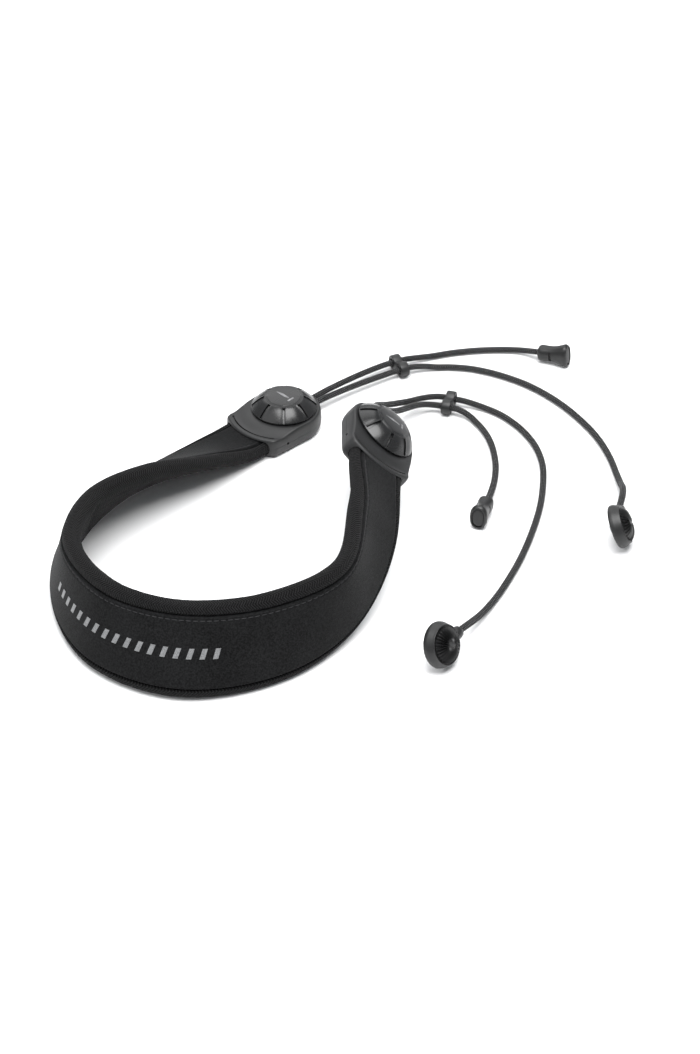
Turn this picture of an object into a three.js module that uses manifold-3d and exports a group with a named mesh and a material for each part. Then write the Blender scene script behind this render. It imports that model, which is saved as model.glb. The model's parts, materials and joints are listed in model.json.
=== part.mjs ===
// A padded neck strap for binoculars, with a dial-locked cord adjuster at each end.
// Millimetres, +Z up. The pad stands on its lower edge, the left adjuster and the cords lie on z = 0.
import * as THREE from "three";
import { mergeVertices } from "three/addons/utils/BufferGeometryUtils.js";
import Module from "manifold-3d";

const wasm = await Module();
wasm.setup();

// ---------------------------------------------------------------- driving dimensions
const GAP = 0.3; // left between pieces that touch

// pad
const PAD_WIDTH = 50;
const PAD_MOUTH_WIDTH = 33.6; // where it enters a housing
const PAD_THICK = 9;
const PAD_MOUTH_THICK = 7.4;
const COVER_WALL = 1.2;
const PANEL_THICK = 0.8;
const PANEL_TOP_MARGIN = 7.5; // from the pad's upper edge to the smooth panel
const PANEL_BOTTOM_MARGIN = 4.8;
const WEBBING_WIDTH = 25;
const WEBBING_THICK = 1.8;
const PAD_STEPS = 34;
const PAD_STRIPS = 3; // strips across each wide face
const PANEL_END_STEPS = 2; // steps of the pad, inside the mouth and just past it, that have no panel

// adjuster housing, in its own frame: dial axis on z, cords leave along +y, strap enters from -y
const HOUSING_HEIGHT = 13;
const LIP_HEIGHT = 11.2;
const END_RADIUS = 21.2; // round cord end, about the dial axis
const LIP_RADIUS = 33.2; // arc of the strap end, about the dial axis
const LIP_WIDTH = 39.4;
const WALL = 2;
const FLOOR = 1.5;
const ROOF = 11; // underside of the cover's top wall
const SPLIT = 6.3; // height of the joint between base and cover, and of the cords
const BAY_FRONT = -21.2; // the mechanism bay's wall towards the strap
const MOUTH_DEPTH = 10;
const MOUTH_HEIGHT = 8.8;

// cords
const CORD_RADIUS = 2;
const CORD_STEP = 4; // length of one step of a cord's tube
const PORT_X = 2.2; // the two strands leave side by side through one oval port
const LOOP_RADIUS = 5; // of the cord round its post
const PORT_RADIUS = 2.5;
const PORT_Y = 22.3; // where the free cord begins

// lock
const DIAL_RADIUS = 18.75;
const DIAL_TOP_RADIUS = 10.8;
const DIAL_HEIGHT = 7.6;
const DIAL_GROOVES = 8;
const CAM_RADIUS = 14.6;
const CAM_BOTTOM = 9;
const CAM_TOP = 10.6;
const CAM_RISE = 2; // jaw travel
const CAM_TURN = Math.PI / 2; // dial travel
const JAW_PIN_RADIUS = 1;
const JAW_PIN_Y = -9.5;
const ANCHOR_Y = -17;
const ANCHOR_RADIUS = 1.25;

// slider: two rings side by side
const SLIDER_PITCH = 9.2;
const SLIDER_RADIUS = 4.5;
const SLIDER_LENGTH = 5.4;
const SLIDER_Z = 4.6;

// connector disc, in its own frame: back face at z = 0, dome towards +z, cord enters along +y
const DISC_RADIUS = 12;
const DISC_FRONT_RADIUS = 10;
const DISC_HEIGHT = 6;
const DOME_HEIGHT = 3.4;
const COLLAR_END = 15.4;
const LUG_PIN_LENGTH = 2.5;

// end cap
const CAP_LENGTH = 18.4;

const ROUND_SIDES = 24;
const CORD_SIDES = 8;

// ---------------------------------------------------------------- places
// The dial axis of each adjuster on its underside, and the directions of its z and y axes.
const RIGHT_ADJUSTER = { at: [71.1, 40.5, 34.7], up: [0.645, 0.027, 0.764], out: [0.03, 0.998, -0.06] };
const LEFT_ADJUSTER = { at: [23.4, 110, 0], up: [0, 0, 1], out: [0.695, 0.719, 0] };

// Centres of the pad's rounded edges from the right adjuster round the neck to the left one.
const UPPER_EDGE = [
  [64.3, -37.2, 51.6], [55.8, -81.6, 46], [20.5, -104, 44], [-20.8, -107.2, 42],
  [-56.7, -93.8, 43.5], [-80, -57.1, 44.5], [-74.2, -17.6, 42.4], [-48.2, 18.2, 33.2], [-15.8, 48.9, 18.4],
];
const LOWER_EDGE = [
  [80.4, -34.4, 23.4], [60.8, -77.2, 9.4], [25.8, -112.1, 4.6], [-22.9, -124.9, 4.6],
  [-65.9, -103.1, 4.6], [-88, -59.9, 4.7], [-90, -13, 5], [-70.8, 31.1, 6.4], [-38.1, 68.3, 5.2],
];

const RIGHT_SLIDER = { at: [118.2, 127.3, SLIDER_Z], turn: -17.2 };
const LEFT_SLIDER = { at: [90.1, 166.5, SLIDER_Z], turn: 26.4 };
const RIGHT_CAP = { at: [135.6, 29.4, 5.4], along: [-0.31, -0.945, 0.1] };
const LEFT_CAP = { at: [173.6, 180, 5.3], along: [0.912, -0.394, 0.11] };
const LOWER_CONNECTOR = { at: [104.8, -98.9, 11.1], up: [0.75, -0.509, 0.421], out: [0.588, 0.805, -0.074] };
const UPPER_CONNECTOR = { at: [202.2, -1.3, 11.2], up: [0.908, -0.078, 0.412], out: [0.08, 0.99, 0.02] };

// Centre lines of the free cords, from the housing port outwards.
const RIGHT_LEAD_ROUTE = [
  [74.2, 63.2, 39.6], [74.5, 71, 38.6], [75.6, 80.5, 34.3], [78, 92, 27], [82.4, 103.5, 19.4],
  [88.8, 113.6, 13.6], [96, 122.4, 9.2], [101.6, 128.4, 6.8], [107.4, 132.4, 5.2], [113.4, 133.5, 4.7],
  [119.6, 131.7, 4.6], [126.2, 129.6, 4.5], [133, 127.8, 3.3], [140, 124.9, 2.15], [148, 118.6, 2.1],
  [158.2, 105.2, 2.1], [165.5, 88.5, 2.1], [168.6, 71, 2.1], [168.2, 54.5, 2.1], [164.2, 26.7, 2.1],
  [153, -12.6, 2.1], [140.8, -42, 2.1], [134, -55.5, 2.6], [128, -67, 4.6], [122.6, -77, 7.8],
  [119.2, -83, 9.9], [116.3, -87.8, 11.2],
];
const RIGHT_TAIL_ROUTE = [
  [77.5, 62.9, 36.7], [78, 70.8, 35.6], [79.8, 80.5, 30.6], [83.4, 91, 23.4], [88.6, 102, 16.4],
  [94, 112.4, 11.2], [99, 119.4, 8.1], [104.4, 123.7, 5.9], [110.4, 124.7, 4.7], [116.8, 122.9, 4.6],
  [122.8, 120.8, 4.5], [128.6, 117.2, 3.3], [133.6, 110.6, 2.2], [138, 101, 2.1], [141.2, 88, 2.1],
  [142.5, 70, 2.1], [141.2, 54.5, 2.5], [138.6, 41, 3.9], [135.7, 29.8, 5.4],
];
const LEFT_LEAD_ROUTE = [
  [40.5, 124.5, 6.3], [45.5, 129, 6.2], [52.5, 134.8, 6], [60.4, 141.2, 5.6], [69.6, 148.1, 5.2],
  [79.4, 155, 4.8], [87, 159.8, 4.7], [92.1, 162.4, 4.6], [98.2, 165.3, 4.4], [105.2, 167.6, 3.3],
  [112, 168.6, 2.2], [121, 168.8, 2.1], [132, 167.2, 2.1], [143.4, 163.2, 2.1], [155.5, 156.6, 2.1],
  [166.6, 148.4, 2.1], [181, 132.8, 2.1], [192.7, 114.8, 2.1], [201.5, 96, 2.1], [207, 76.3, 2.1],
  [209.4, 60, 2.2], [210.2, 47, 5.2], [210.1, 35.5, 10.2], [208.6, 24.6, 13], [206.2, 14.6, 13.6],
];
const LEFT_TAIL_ROUTE = [
  [37.3, 127.6, 6.3], [42.4, 132.9, 6.2], [49.4, 140, 6], [58, 148.1, 5.6], [67.2, 156.2, 5.2],
  [75.4, 162.9, 4.8], [82.8, 167.9, 4.7], [88, 170.6, 4.6], [94, 173.7, 4.4], [101, 176.9, 3.4],
  [109, 180.2, 2.3], [122, 184.3, 2.1], [137, 187, 2.1], [150, 187.8, 2.1], [162, 186.6, 2.6],
  [173.3, 180.2, 5.3],
];

// ---------------------------------------------------------------- helpers
const vec = (list) => new THREE.Vector3(...list);

function solidOf(geometry) {
  const bare = geometry.clone();
  bare.deleteAttribute("normal");
  bare.deleteAttribute("uv");
  const merged = mergeVertices(bare, 1e-4);
  return new wasm.Manifold(
    new wasm.Mesh({
      numProp: 3,
      vertProperties: merged.attributes.position.array,
      triVerts: new Uint32Array(merged.index.array),
    }),
  );
}

function geometryOf(solid) {
  const mesh = solid.getMesh();
  const geometry = new THREE.BufferGeometry();
  geometry.setAttribute("position", new THREE.BufferAttribute(mesh.vertProperties, 3));
  geometry.setIndex(new THREE.BufferAttribute(mesh.triVerts, 1));
  return geometry;
}

const join = (first, ...more) =>
  geometryOf(more.reduce((sum, piece) => sum.add(solidOf(piece)), solidOf(first)));
const cut = (body, ...tools) =>
  geometryOf(tools.reduce((rest, tool) => rest.subtract(solidOf(tool)), solidOf(body)));
const common = (a, b) => geometryOf(solidOf(a).intersect(solidOf(b)));

// A box between two corners.
function block(low, high) {
  const size = vec(high).sub(vec(low));
  const middle = vec(low).add(vec(high)).multiplyScalar(0.5);
  return new THREE.BoxGeometry(...size).translate(...middle);
}

// A round bar along z.
function bar(radius, z0, z1, sides = ROUND_SIDES) {
  const geometry = new THREE.CylinderGeometry(radius, radius, z1 - z0, sides);
  return geometry.rotateX(Math.PI / 2).translate(0, 0, (z0 + z1) / 2);
}

// A body turned about z from a closed list of [radius, height] points.
function turned(profile, sides = ROUND_SIDES) {
  const points = [...profile, profile[0]].map(([r, z]) => new THREE.Vector2(r, z));
  return new THREE.LatheGeometry(points, sides).rotateX(Math.PI / 2);
}

// A flat outline raised from z0 to z1, with its rims rounded off by bevel.
function plate(shape, z0, z1, bevel = 0) {
  const options = { depth: z1 - z0 - 2 * bevel, curveSegments: 10, bevelEnabled: bevel > 0 };
  Object.assign(options, { bevelSize: bevel, bevelThickness: bevel, bevelOffset: -bevel, bevelSegments: 1 });
  return new THREE.ExtrudeGeometry(shape, options).translate(0, 0, z0 + bevel);
}

// A closed body through outlines that have equal numbers of points.
function loft(outlines) {
  const sides = outlines[0].length;
  const positions = outlines.flat().flatMap((p) => p.toArray());
  const index = [];
  for (let i = 0; i + 1 < outlines.length; i++) {
    for (let j = 0; j < sides; j++) {
      const a = i * sides + j;
      const b = i * sides + ((j + 1) % sides);
      index.push(a, b, b + sides, a, b + sides, a + sides);
    }
  }
  const last = (outlines.length - 1) * sides;
  for (let j = 1; j + 1 < sides; j++) {
    index.push(0, j + 1, j, last, last + j, last + j + 1);
  }
  const geometry = new THREE.BufferGeometry();
  geometry.setAttribute("position", new THREE.Float32BufferAttribute(positions, 3));
  return geometry.setIndex(index);
}

// A group placed by the directions of its own z and y axes.
function placed({ at, up, out }) {
  const z = vec(up).normalize();
  const x = vec(out).cross(z).normalize();
  const y = z.clone().cross(x);
  const group = new THREE.Group();
  group.quaternion.setFromRotationMatrix(new THREE.Matrix4().makeBasis(x, y, z));
  group.position.set(...at);
  group.updateMatrixWorld(true);
  return group;
}

// ---------------------------------------------------------------- materials
const finish = (color, roughness, metalness = 0) => ({ color, roughness, metalness });
const AIR_MESH = finish(0x1c1d1e, 0.95);
const PANEL_CLOTH = finish(0x25282a, 0.9);
const FOAM = finish(0x3a3a3c, 0.95);
const WEBBING = finish(0x141414, 0.9);
const HOUSING_PLASTIC = finish(0x3a3b3d, 0.6);
const DIAL_PLASTIC = finish(0x434446, 0.45);
const DARK_PLASTIC = finish(0x202122, 0.55);
const BRAID = finish(0x161616, 0.85);
const STEEL = finish(0xb8bcc0, 0.3, 1);

function mesh(name, geometry, surface) {
  geometry.computeVertexNormals();
  const made = new THREE.Mesh(geometry, new THREE.MeshStandardMaterial(surface));
  made.name = name;
  return made;
}

// ---------------------------------------------------------------- pad
// The two edge lines, led straight into the mouths of both housings.
function padEdges(rightGroup, leftGroup) {
  const inner = -LIP_RADIUS + MOUTH_DEPTH - 0.4;
  const outer = -LIP_RADIUS - 4;
  const inset = PAD_MOUTH_THICK / 2;
  const half = PAD_MOUTH_WIDTH / 2 - inset;
  const entry = (group, x, y) => group.localToWorld(new THREE.Vector3(x, y, SPLIT));
  const line = (side, middle) =>
    new THREE.CatmullRomCurve3([
      entry(rightGroup, -side * half, inner),
      entry(rightGroup, -side * (half + 0.4), outer),
      ...middle.map(vec),
      entry(leftGroup, side * (half + 0.4), outer),
      entry(leftGroup, side * half, inner),
    ]);
  return { upper: line(1, UPPER_EDGE), lower: line(-1, LOWER_EDGE) };
}

// Frames along the pad, from its left end to its right so that a loft through them faces outwards:
// middle, direction up its width, outward normal, and fullness.
function padFrames(edges) {
  const frames = [];
  for (let i = 0; i <= PAD_STEPS; i++) {
    const t = i / PAD_STEPS;
    const up = edges.upper.getPoint(t);
    const low = edges.lower.getPoint(t);
    const along = edges.upper.getTangent(t).add(edges.lower.getTangent(t));
    const width = up.clone().sub(low).normalize();
    const normal = width.clone().cross(along).normalize();
    const middle = up.add(low).multiplyScalar(0.5);
    frames.push({ middle, width, normal, full: fullness(t) });
  }
  return frames.reverse();
}

// 0 inside a housing's mouth, rising to 1 where the pad has its full width.
function fullness(t) {
  const fromEnd = Math.min(t, 1 - t);
  return THREE.MathUtils.smoothstep(fromEnd, 0.075, 0.27);
}

const mix = (full, atMouth, atMiddle) => atMouth + (atMiddle - atMouth) * full;

// One outline across the pad: [across, out] points from the frame's middle.
const outlineAt = (frame, points) =>
  points.map(([across, out]) =>
    frame.middle.clone().addScaledVector(frame.width, across).addScaledVector(frame.normal, out),
  );

// A bar section with round edges, inset all round from the pad's own section.
function padSection(full, inset) {
  const half = mix(full, PAD_MOUTH_WIDTH, PAD_WIDTH) / 2 - inset;
  const thick = mix(full, PAD_MOUTH_THICK, PAD_THICK) / 2 - inset;
  const points = [];
  for (const side of [1, -1]) {
    for (const angle of [-90, -45, 0, 45]) {
      const a = THREE.MathUtils.degToRad(angle + (side < 0 ? 180 : 0));
      points.push([side * (half - thick) + thick * Math.cos(a), thick * Math.sin(a)]);
    }
    for (let i = 0; i < PAD_STRIPS; i++) {
      points.push([side * (half - thick) * (1 - (2 * i) / PAD_STRIPS), side * thick]);
    }
  }
  return points;
}

// A flat bar section, its wide faces in strips so that the pad's twist stays smooth across them.
function flatSection(low, high, back, front) {
  const acrossAt = (i) => low + ((high - low) * i) / PAD_STRIPS;
  const steps = Array.from({ length: PAD_STRIPS + 1 }, (_, i) => i);
  const backFace = steps.map((i) => [acrossAt(i), back]);
  const frontFace = steps.map((i) => [acrossAt(PAD_STRIPS - i), front]);
  return [...backFace, ...frontFace];
}

function padPieces(rightGroup, leftGroup) {
  const frames = padFrames(padEdges(rightGroup, leftGroup));
  const along = (section) => frames.map((frame) => outlineAt(frame, section(frame.full)));
  // The same run carried a little past both ends, for cutting right through.
  const through = (section) => {
    const rings = along(section);
    const push = (ring, next) => ring.map((p, k) => p.clone().lerp(next[k], -0.5));
    return loft([push(rings[0], rings[1]), ...rings, push(rings.at(-1), rings.at(-2))]);
  };
  const webHalf = WEBBING_WIDTH / 2;
  const webSection = (grow) => () =>
    flatSection(-webHalf - grow, webHalf + grow, -WEBBING_THICK / 2 - grow, WEBBING_THICK / 2 + grow);
  const front = (full) => mix(full, PAD_MOUTH_THICK, PAD_THICK) / 2;
  const panelBand = (full, grow, back, forth) => {
    const half = mix(full, PAD_MOUTH_WIDTH, PAD_WIDTH) / 2;
    const low = -half + PANEL_BOTTOM_MARGIN - grow;
    const high = half - mix(full, PANEL_BOTTOM_MARGIN, PANEL_TOP_MARGIN) + grow;
    return flatSection(low, high, front(full) + back, front(full) + forth);
  };
  const cover = cut(
    loft(along((full) => padSection(full, 0))),
    through((full) => padSection(full, COVER_WALL)),
    through((full) => panelBand(full, GAP, -PANEL_THICK / 2 - GAP, 1)),
  );
  const core = cut(loft(along((full) => padSection(full, COVER_WALL + GAP))), through(webSection(GAP)));
  const panelRings = along((full) => panelBand(full, 0, -PANEL_THICK / 2, PANEL_THICK / 2));
  const panel = loft(panelRings.slice(PANEL_END_STEPS, -PANEL_END_STEPS));
  return [
    mesh("pad_cover", cover, AIR_MESH),
    mesh("pad_foam_core", core, FOAM),
    mesh("pad_front_panel", panel, PANEL_CLOTH),
    mesh("pad_webbing", webbing(along(webSection(0)), rightGroup, leftGroup), WEBBING),
  ];
}

// The load-carrying webbing, with a sewn loop round the anchor pin of each housing.
function webbing(rings, rightGroup, leftGroup) {
  const loops = [rightGroup, leftGroup].map((group) => anchorLoop().applyMatrix4(group.matrixWorld));
  return join(loft(rings), ...loops);
}

function anchorLoop() {
  const ring = new THREE.Shape().absarc(0, 0, ANCHOR_RADIUS + GAP + 1.4, 0, 2 * Math.PI);
  ring.holes.push(new THREE.Path().absarc(0, 0, ANCHOR_RADIUS + GAP, 0, 2 * Math.PI));
  const loop = plate(ring, -WEBBING_WIDTH / 2, WEBBING_WIDTH / 2).rotateY(Math.PI / 2);
  const half = WEBBING_WIDTH / 2 - 0.01;
  const inner = -LIP_RADIUS + MOUTH_DEPTH - 0.4;
  const tongue = block(
    [-half, inner - 1.5 - ANCHOR_Y, -WEBBING_THICK / 2 + 0.01],
    [half, -ANCHOR_RADIUS - GAP - 0.2, WEBBING_THICK / 2 - 0.01],
  );
  return join(loop, tongue).translate(0, ANCHOR_Y, SPLIT);
}

// ---------------------------------------------------------------- adjuster
function housingOutline(inset) {
  const half = LIP_WIDTH / 2 - inset;
  const lip = LIP_RADIUS - inset;
  const reach = Math.asin(half / lip);
  const shape = new THREE.Shape();
  shape.absarc(0, 0, END_RADIUS - inset, 0, Math.PI);
  shape.absarc(0, 0, lip, 1.5 * Math.PI - reach, 1.5 * Math.PI + reach);
  shape.closePath();
  return shape;
}

// The closed outer form: full height under the dial, stepping down to a lower lip.
function housingBody() {
  const body = plate(housingOutline(0), 0, HOUSING_HEIGHT, 1.2);
  const side = new THREE.Shape();
  side.moveTo(-LIP_RADIUS - 1, -1);
  side.lineTo(END_RADIUS + 1, -1);
  side.lineTo(END_RADIUS + 1, HOUSING_HEIGHT + 1);
  side.lineTo(-DIAL_RADIUS, HOUSING_HEIGHT + 1);
  side.lineTo(-DIAL_RADIUS - 0.2, HOUSING_HEIGHT);
  side.lineTo(-DIAL_RADIUS - 6, LIP_HEIGHT);
  side.lineTo(-LIP_RADIUS - 1, LIP_HEIGHT);
  side.closePath();
  // The outline's x runs along the housing's y, its y up, so it is turned into the y-z plane.
  const profile = plate(side, -END_RADIUS - 1, END_RADIUS + 1).rotateX(Math.PI / 2).rotateZ(Math.PI / 2);
  return common(body, profile);
}

// Everything that is hollow in the housing, both shells together.
function housingHollows() {
  const bay = common(
    plate(housingOutline(WALL), FLOOR, ROOF),
    block([-30, BAY_FRONT, 0], [30, 30, HOUSING_HEIGHT]),
  );
  const mouthBack = -LIP_RADIUS + MOUTH_DEPTH;
  const mouthHalf = PAD_MOUTH_WIDTH / 2 + GAP;
  const mouth = block(
    [-mouthHalf, -LIP_RADIUS - 1, SPLIT - MOUTH_HEIGHT / 2],
    [mouthHalf, mouthBack, SPLIT + MOUTH_HEIGHT / 2],
  );
  const slotHalf = WEBBING_WIDTH / 2 + GAP + 0.3;
  const slot = block([-slotHalf, mouthBack - 1, SPLIT - 2], [slotHalf, BAY_FRONT + 1, SPLIT + 2]);
  const anchorHole = bar(ANCHOR_RADIUS + GAP, -25, 25, 16).rotateY(Math.PI / 2);
  anchorHole.translate(0, ANCHOR_Y, SPLIT);
  const ports = [-PORT_X, PORT_X].map((x) =>
    bar(PORT_RADIUS, 12, 27, 16).rotateX(-Math.PI / 2).translate(x, 0, SPLIT),
  );
  const hubHole = bar(6.4, ROOF - 1, HOUSING_HEIGHT + 1);
  return [bay, mouth, slot, anchorHole, ...ports, hubHole];
}

const SCREW_PLACES = [[-15.4, 8.6], [15.4, 8.6]];

// Bosses for the case screws, grown from the side walls into the bay.
const screwBoss = ([x, y], z0, z1) => bar(2.4, z0, z1, 16).translate(x, y, 0);

function housingShells(side) {
  const hollow = cut(housingBody(), ...housingHollows());
  const reach = 60;
  const lower = common(hollow, block([-reach, -reach, -1], [reach, reach, SPLIT - GAP / 2]));
  const upper = common(hollow, block([-reach, -reach, SPLIT + GAP / 2], [reach, reach, reach]));
  const rails = [-7.1, 7.1].map((x) => block([x - 0.7, -13.2, FLOOR - 0.5], [x + 0.7, -9, 8.4]));
  const shank = 1.45;
  const head = 2.1;
  const baseBosses = SCREW_PLACES.map((p) => screwBoss(p, FLOOR - 0.5, SPLIT - GAP / 2));
  const coverBosses = SCREW_PLACES.map((p) => screwBoss(p, SPLIT + GAP / 2, ROOF + 0.5));
  const screwHoles = SCREW_PLACES.flatMap(([x, y]) => [
    bar(shank, -1, SPLIT, 16).translate(x, y, 0),
    bar(head, -1, 1.8, 16).translate(x, y, 0),
  ]);
  const blindHoles = SCREW_PLACES.map(([x, y]) => bar(shank, SPLIT, 10.6, 16).translate(x, y, 0));
  return [
    mesh(`${side}_housing_base`, cut(join(lower, ...rails, ...baseBosses), ...screwHoles), HOUSING_PLASTIC),
    mesh(`${side}_housing_cover`, cut(join(upper, ...coverBosses), ...blindHoles), HOUSING_PLASTIC),
  ];
}

function caseScrew(name, [x, y]) {
  const profile = [[0, 0.4], [1.75, 0.4], [1.75, 1.5], [1.1, 1.9], [1.1, 10.2], [0, 10.2]];
  const screw = cut(turned(profile, 16), block([-0.3, -1.2, 0], [0.3, 1.2, 1]));
  return mesh(name, screw.translate(x, y, 0), STEEL);
}

// The dial: a cone with radial finger grooves and a hub that turns in the cover's hole.
function dial(name) {
  const bottom = HOUSING_HEIGHT + GAP;
  const top = bottom + DIAL_HEIGHT;
  const profile = [
    [2, CAM_TOP + GAP], [6, CAM_TOP + GAP], [6, bottom], [DIAL_RADIUS, bottom], [DIAL_RADIUS, bottom + 1],
    [DIAL_TOP_RADIUS, top - 0.4], [DIAL_TOP_RADIUS - 0.6, top], [9.5, top], [9.5, top - 1.7],
    [3.4, top - 1.7], [3.4, top - 3.7], [2, top - 3.7],
  ];
  const grooves = [];
  const slope = Math.atan2(DIAL_HEIGHT - 1.4, DIAL_RADIUS - DIAL_TOP_RADIUS);
  for (let i = 0; i < DIAL_GROOVES; i++) {
    const groove = new THREE.BoxGeometry(7.4, 1.5, 1.6).rotateY(slope);
    groove.translate((DIAL_RADIUS + DIAL_TOP_RADIUS) / 2 + 0.2, 0, bottom + 4.2);
    grooves.push(groove.rotateZ(((i + 0.5) * 2 * Math.PI) / DIAL_GROOVES));
  }
  return mesh(name, cut(turned(profile, 32), ...grooves), DIAL_PLASTIC);
}

function dialCap(name) {
  const top = HOUSING_HEIGHT + GAP + DIAL_HEIGHT;
  const cap = new THREE.CylinderGeometry(8.6, 9.2, 1.6, 8).rotateX(Math.PI / 2);
  return mesh(name, cap.rotateZ(Math.PI / 8).translate(0, 0, top - 0.6), DIAL_PLASTIC);
}

// The screw on the dial's axis, from the dial's counterbore into the cam plate.
function dialScrew(name) {
  const seat = HOUSING_HEIGHT + GAP + DIAL_HEIGHT - 3.7 + GAP;
  const tip = CAM_BOTTOM + 0.2;
  const profile = [[0, tip], [1.6, tip], [1.6, seat], [3, seat], [3, seat + 1.5], [0, seat + 1.5]];
  return mesh(name, turned(profile, 16), STEEL);
}

// The plate under the dial, with the spiral slot that carries the jaw's pin.
function camPlate(name) {
  const slack = JAW_PIN_RADIUS + GAP;
  const over = 0.16; // extra turn at both ends of the slot, radians
  const steps = 12;
  const at = (i, side) => {
    const turn = -over + ((CAM_TURN + 2 * over) * i) / steps;
    const radius = -JAW_PIN_Y + (CAM_RISE * turn) / CAM_TURN + side * slack;
    return new THREE.Vector2(radius, 0).rotateAround(new THREE.Vector2(), -Math.PI / 2 - turn);
  };
  const outer = Array.from({ length: steps + 1 }, (_, i) => at(i, 1));
  const inner = Array.from({ length: steps + 1 }, (_, i) => at(steps - i, -1));
  const slot = plate(new THREE.Shape([...outer, ...inner]), CAM_BOTTOM - 1, CAM_TOP + 1);
  const screwHole = bar(1.9, CAM_BOTTOM - 1, CAM_TOP + 1, 16);
  return mesh(name, cut(bar(CAM_RADIUS, CAM_BOTTOM, CAM_TOP), screwHole, slot), STEEL);
}

// The jaw that presses the cord's loop against the post, with the pin that the cam drives.
function clampJaw(name) {
  const hollow = LOOP_RADIUS + CORD_RADIUS + GAP;
  const half = 6;
  const reach = Math.asin(half / hollow);
  const shape = new THREE.Shape();
  shape.moveTo(-half, -11.4);
  shape.lineTo(half, -11.4);
  shape.absarc(0, 0, hollow, 1.5 * Math.PI + reach, 1.5 * Math.PI - reach, true);
  shape.closePath();
  const pin = bar(JAW_PIN_RADIUS, 8, CAM_TOP - 0.2, 16).translate(0, JAW_PIN_Y, 0);
  return mesh(name, join(plate(shape, FLOOR + GAP, CAM_BOTTOM - GAP), pin), DARK_PLASTIC);
}

function cordPost(name) {
  const profile = [[0, FLOOR + GAP], [4.4, FLOOR + GAP], [4.4, 3], [2.7, 3.8], [2.7, 8.7], [0, 8.7]];
  return mesh(name, turned(profile, 16), STEEL);
}

function anchorPin(name) {
  const pin = bar(ANCHOR_RADIUS, -17.9, 17.9, 16).rotateY(Math.PI / 2);
  return mesh(name, pin.translate(0, ANCHOR_Y, SPLIT), STEEL);
}

// ---------------------------------------------------------------- cords
function tube(points, step) {
  const route = new THREE.CatmullRomCurve3(points);
  const section = new THREE.Shape();
  for (let i = 0; i < CORD_SIDES; i++) {
    const a = (2 * Math.PI * i) / CORD_SIDES;
    const [x, y] = [CORD_RADIUS * Math.cos(a), CORD_RADIUS * Math.sin(a)];
    if (i === 0) section.moveTo(x, y);
    else section.lineTo(x, y);
  }
  section.closePath();
  const steps = Math.round(route.getLength() / step);
  return new THREE.ExtrudeGeometry(section, { steps, extrudePath: route });
}

// The part of the cord that the housing holds: in by one port, round the post, out by the other.
function heldCord(name) {
  const arm = [
    [PORT_X, PORT_Y - GAP], [PORT_X, 18], [PORT_X + 0.4, 13], [LOOP_RADIUS - 0.8, 7], [LOOP_RADIUS, 2],
  ];
  const loop = [];
  for (let angle = 22.5; angle < 180; angle += 22.5) {
    const a = THREE.MathUtils.degToRad(angle);
    loop.push([LOOP_RADIUS * Math.cos(a), -LOOP_RADIUS * Math.sin(a)]);
  }
  const back = arm.map(([x, y]) => [-x, y]).reverse();
  const points = [...arm, ...loop, ...back].map(([x, y]) => new THREE.Vector3(x, y, SPLIT));
  return mesh(name, tube(points, 3), BRAID);
}

const freeCord = (name, route) => mesh(name, tube(route.map(vec), CORD_STEP), BRAID);

// The figure-8 keeper that both strands run through.
function slider(name, { at, turn }) {
  const half = SLIDER_LENGTH / 2;
  const sides = [-SLIDER_PITCH / 2, SLIDER_PITCH / 2];
  const rings = sides.map((y) => bar(SLIDER_RADIUS, -half, half, 24).translate(0, y, 0));
  const web = block([-3.2, -3, -half], [3.2, 3, half]);
  const holes = sides.map((y) => bar(PORT_RADIUS, -5, 5, 16).translate(0, y, 0));
  const made = mesh(name, cut(join(...rings, web), ...holes).rotateY(Math.PI / 2), DIAL_PLASTIC);
  made.position.set(...at);
  made.rotation.z = THREE.MathUtils.degToRad(turn);
  return made;
}

// ---------------------------------------------------------------- cord ends
// Sections along the cap's own z axis: [distance, half width, half height].
const CAP_SECTIONS = [
  [0, 3.2, 3.3], [1.2, 4.1, 4.2], [3, 4.3, 4.4], [8, 4.1, 4.5], [13.5, 4.4, 5.8],
  [CAP_LENGTH - 1.8, 4.9, 7.1], [CAP_LENGTH, 4.5, 6.6],
];

// A rounded box outline of the given half sizes at height z.
function capOutline([z, halfWidth, halfHeight]) {
  const points = [];
  const sides = 16;
  for (let i = 0; i < sides; i++) {
    const a = (2 * Math.PI * (i + 0.5)) / sides;
    const squared = (v) => Math.sign(v) * Math.abs(v) ** 0.7;
    points.push(new THREE.Vector3(halfWidth * squared(Math.cos(a)), halfHeight * squared(Math.sin(a)), z));
  }
  return points;
}

function endCap(side, { at, along }) {
  const group = placed({ at, up: along, out: [0, 0, 1] });
  const shell = loft(CAP_SECTIONS.map(capOutline));
  const recess = loft([capOutline([CAP_LENGTH - 1.6, 3.3, 5.3]), capOutline([CAP_LENGTH + 1, 3.3, 5.3])]);
  const slots = [-1, 1].map((s) => block([s * 4.6 - 1.6, -2.7, 7.3], [s * 4.6 + 1.6, 2.7, 9]));
  const plug = loft([capOutline([CAP_LENGTH - 1.3, 2.95, 4.95]), capOutline([CAP_LENGTH - 0.2, 2.95, 4.95])]);
  group.add(mesh(`${side}_end_cap`, cut(shell, recess, ...slots), DARK_PLASTIC));
  group.add(mesh(`${side}_end_plug`, plug, DARK_PLASTIC));
  return group;
}

// ---------------------------------------------------------------- connectors
const HUB_RADIUS = 5.8;

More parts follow.
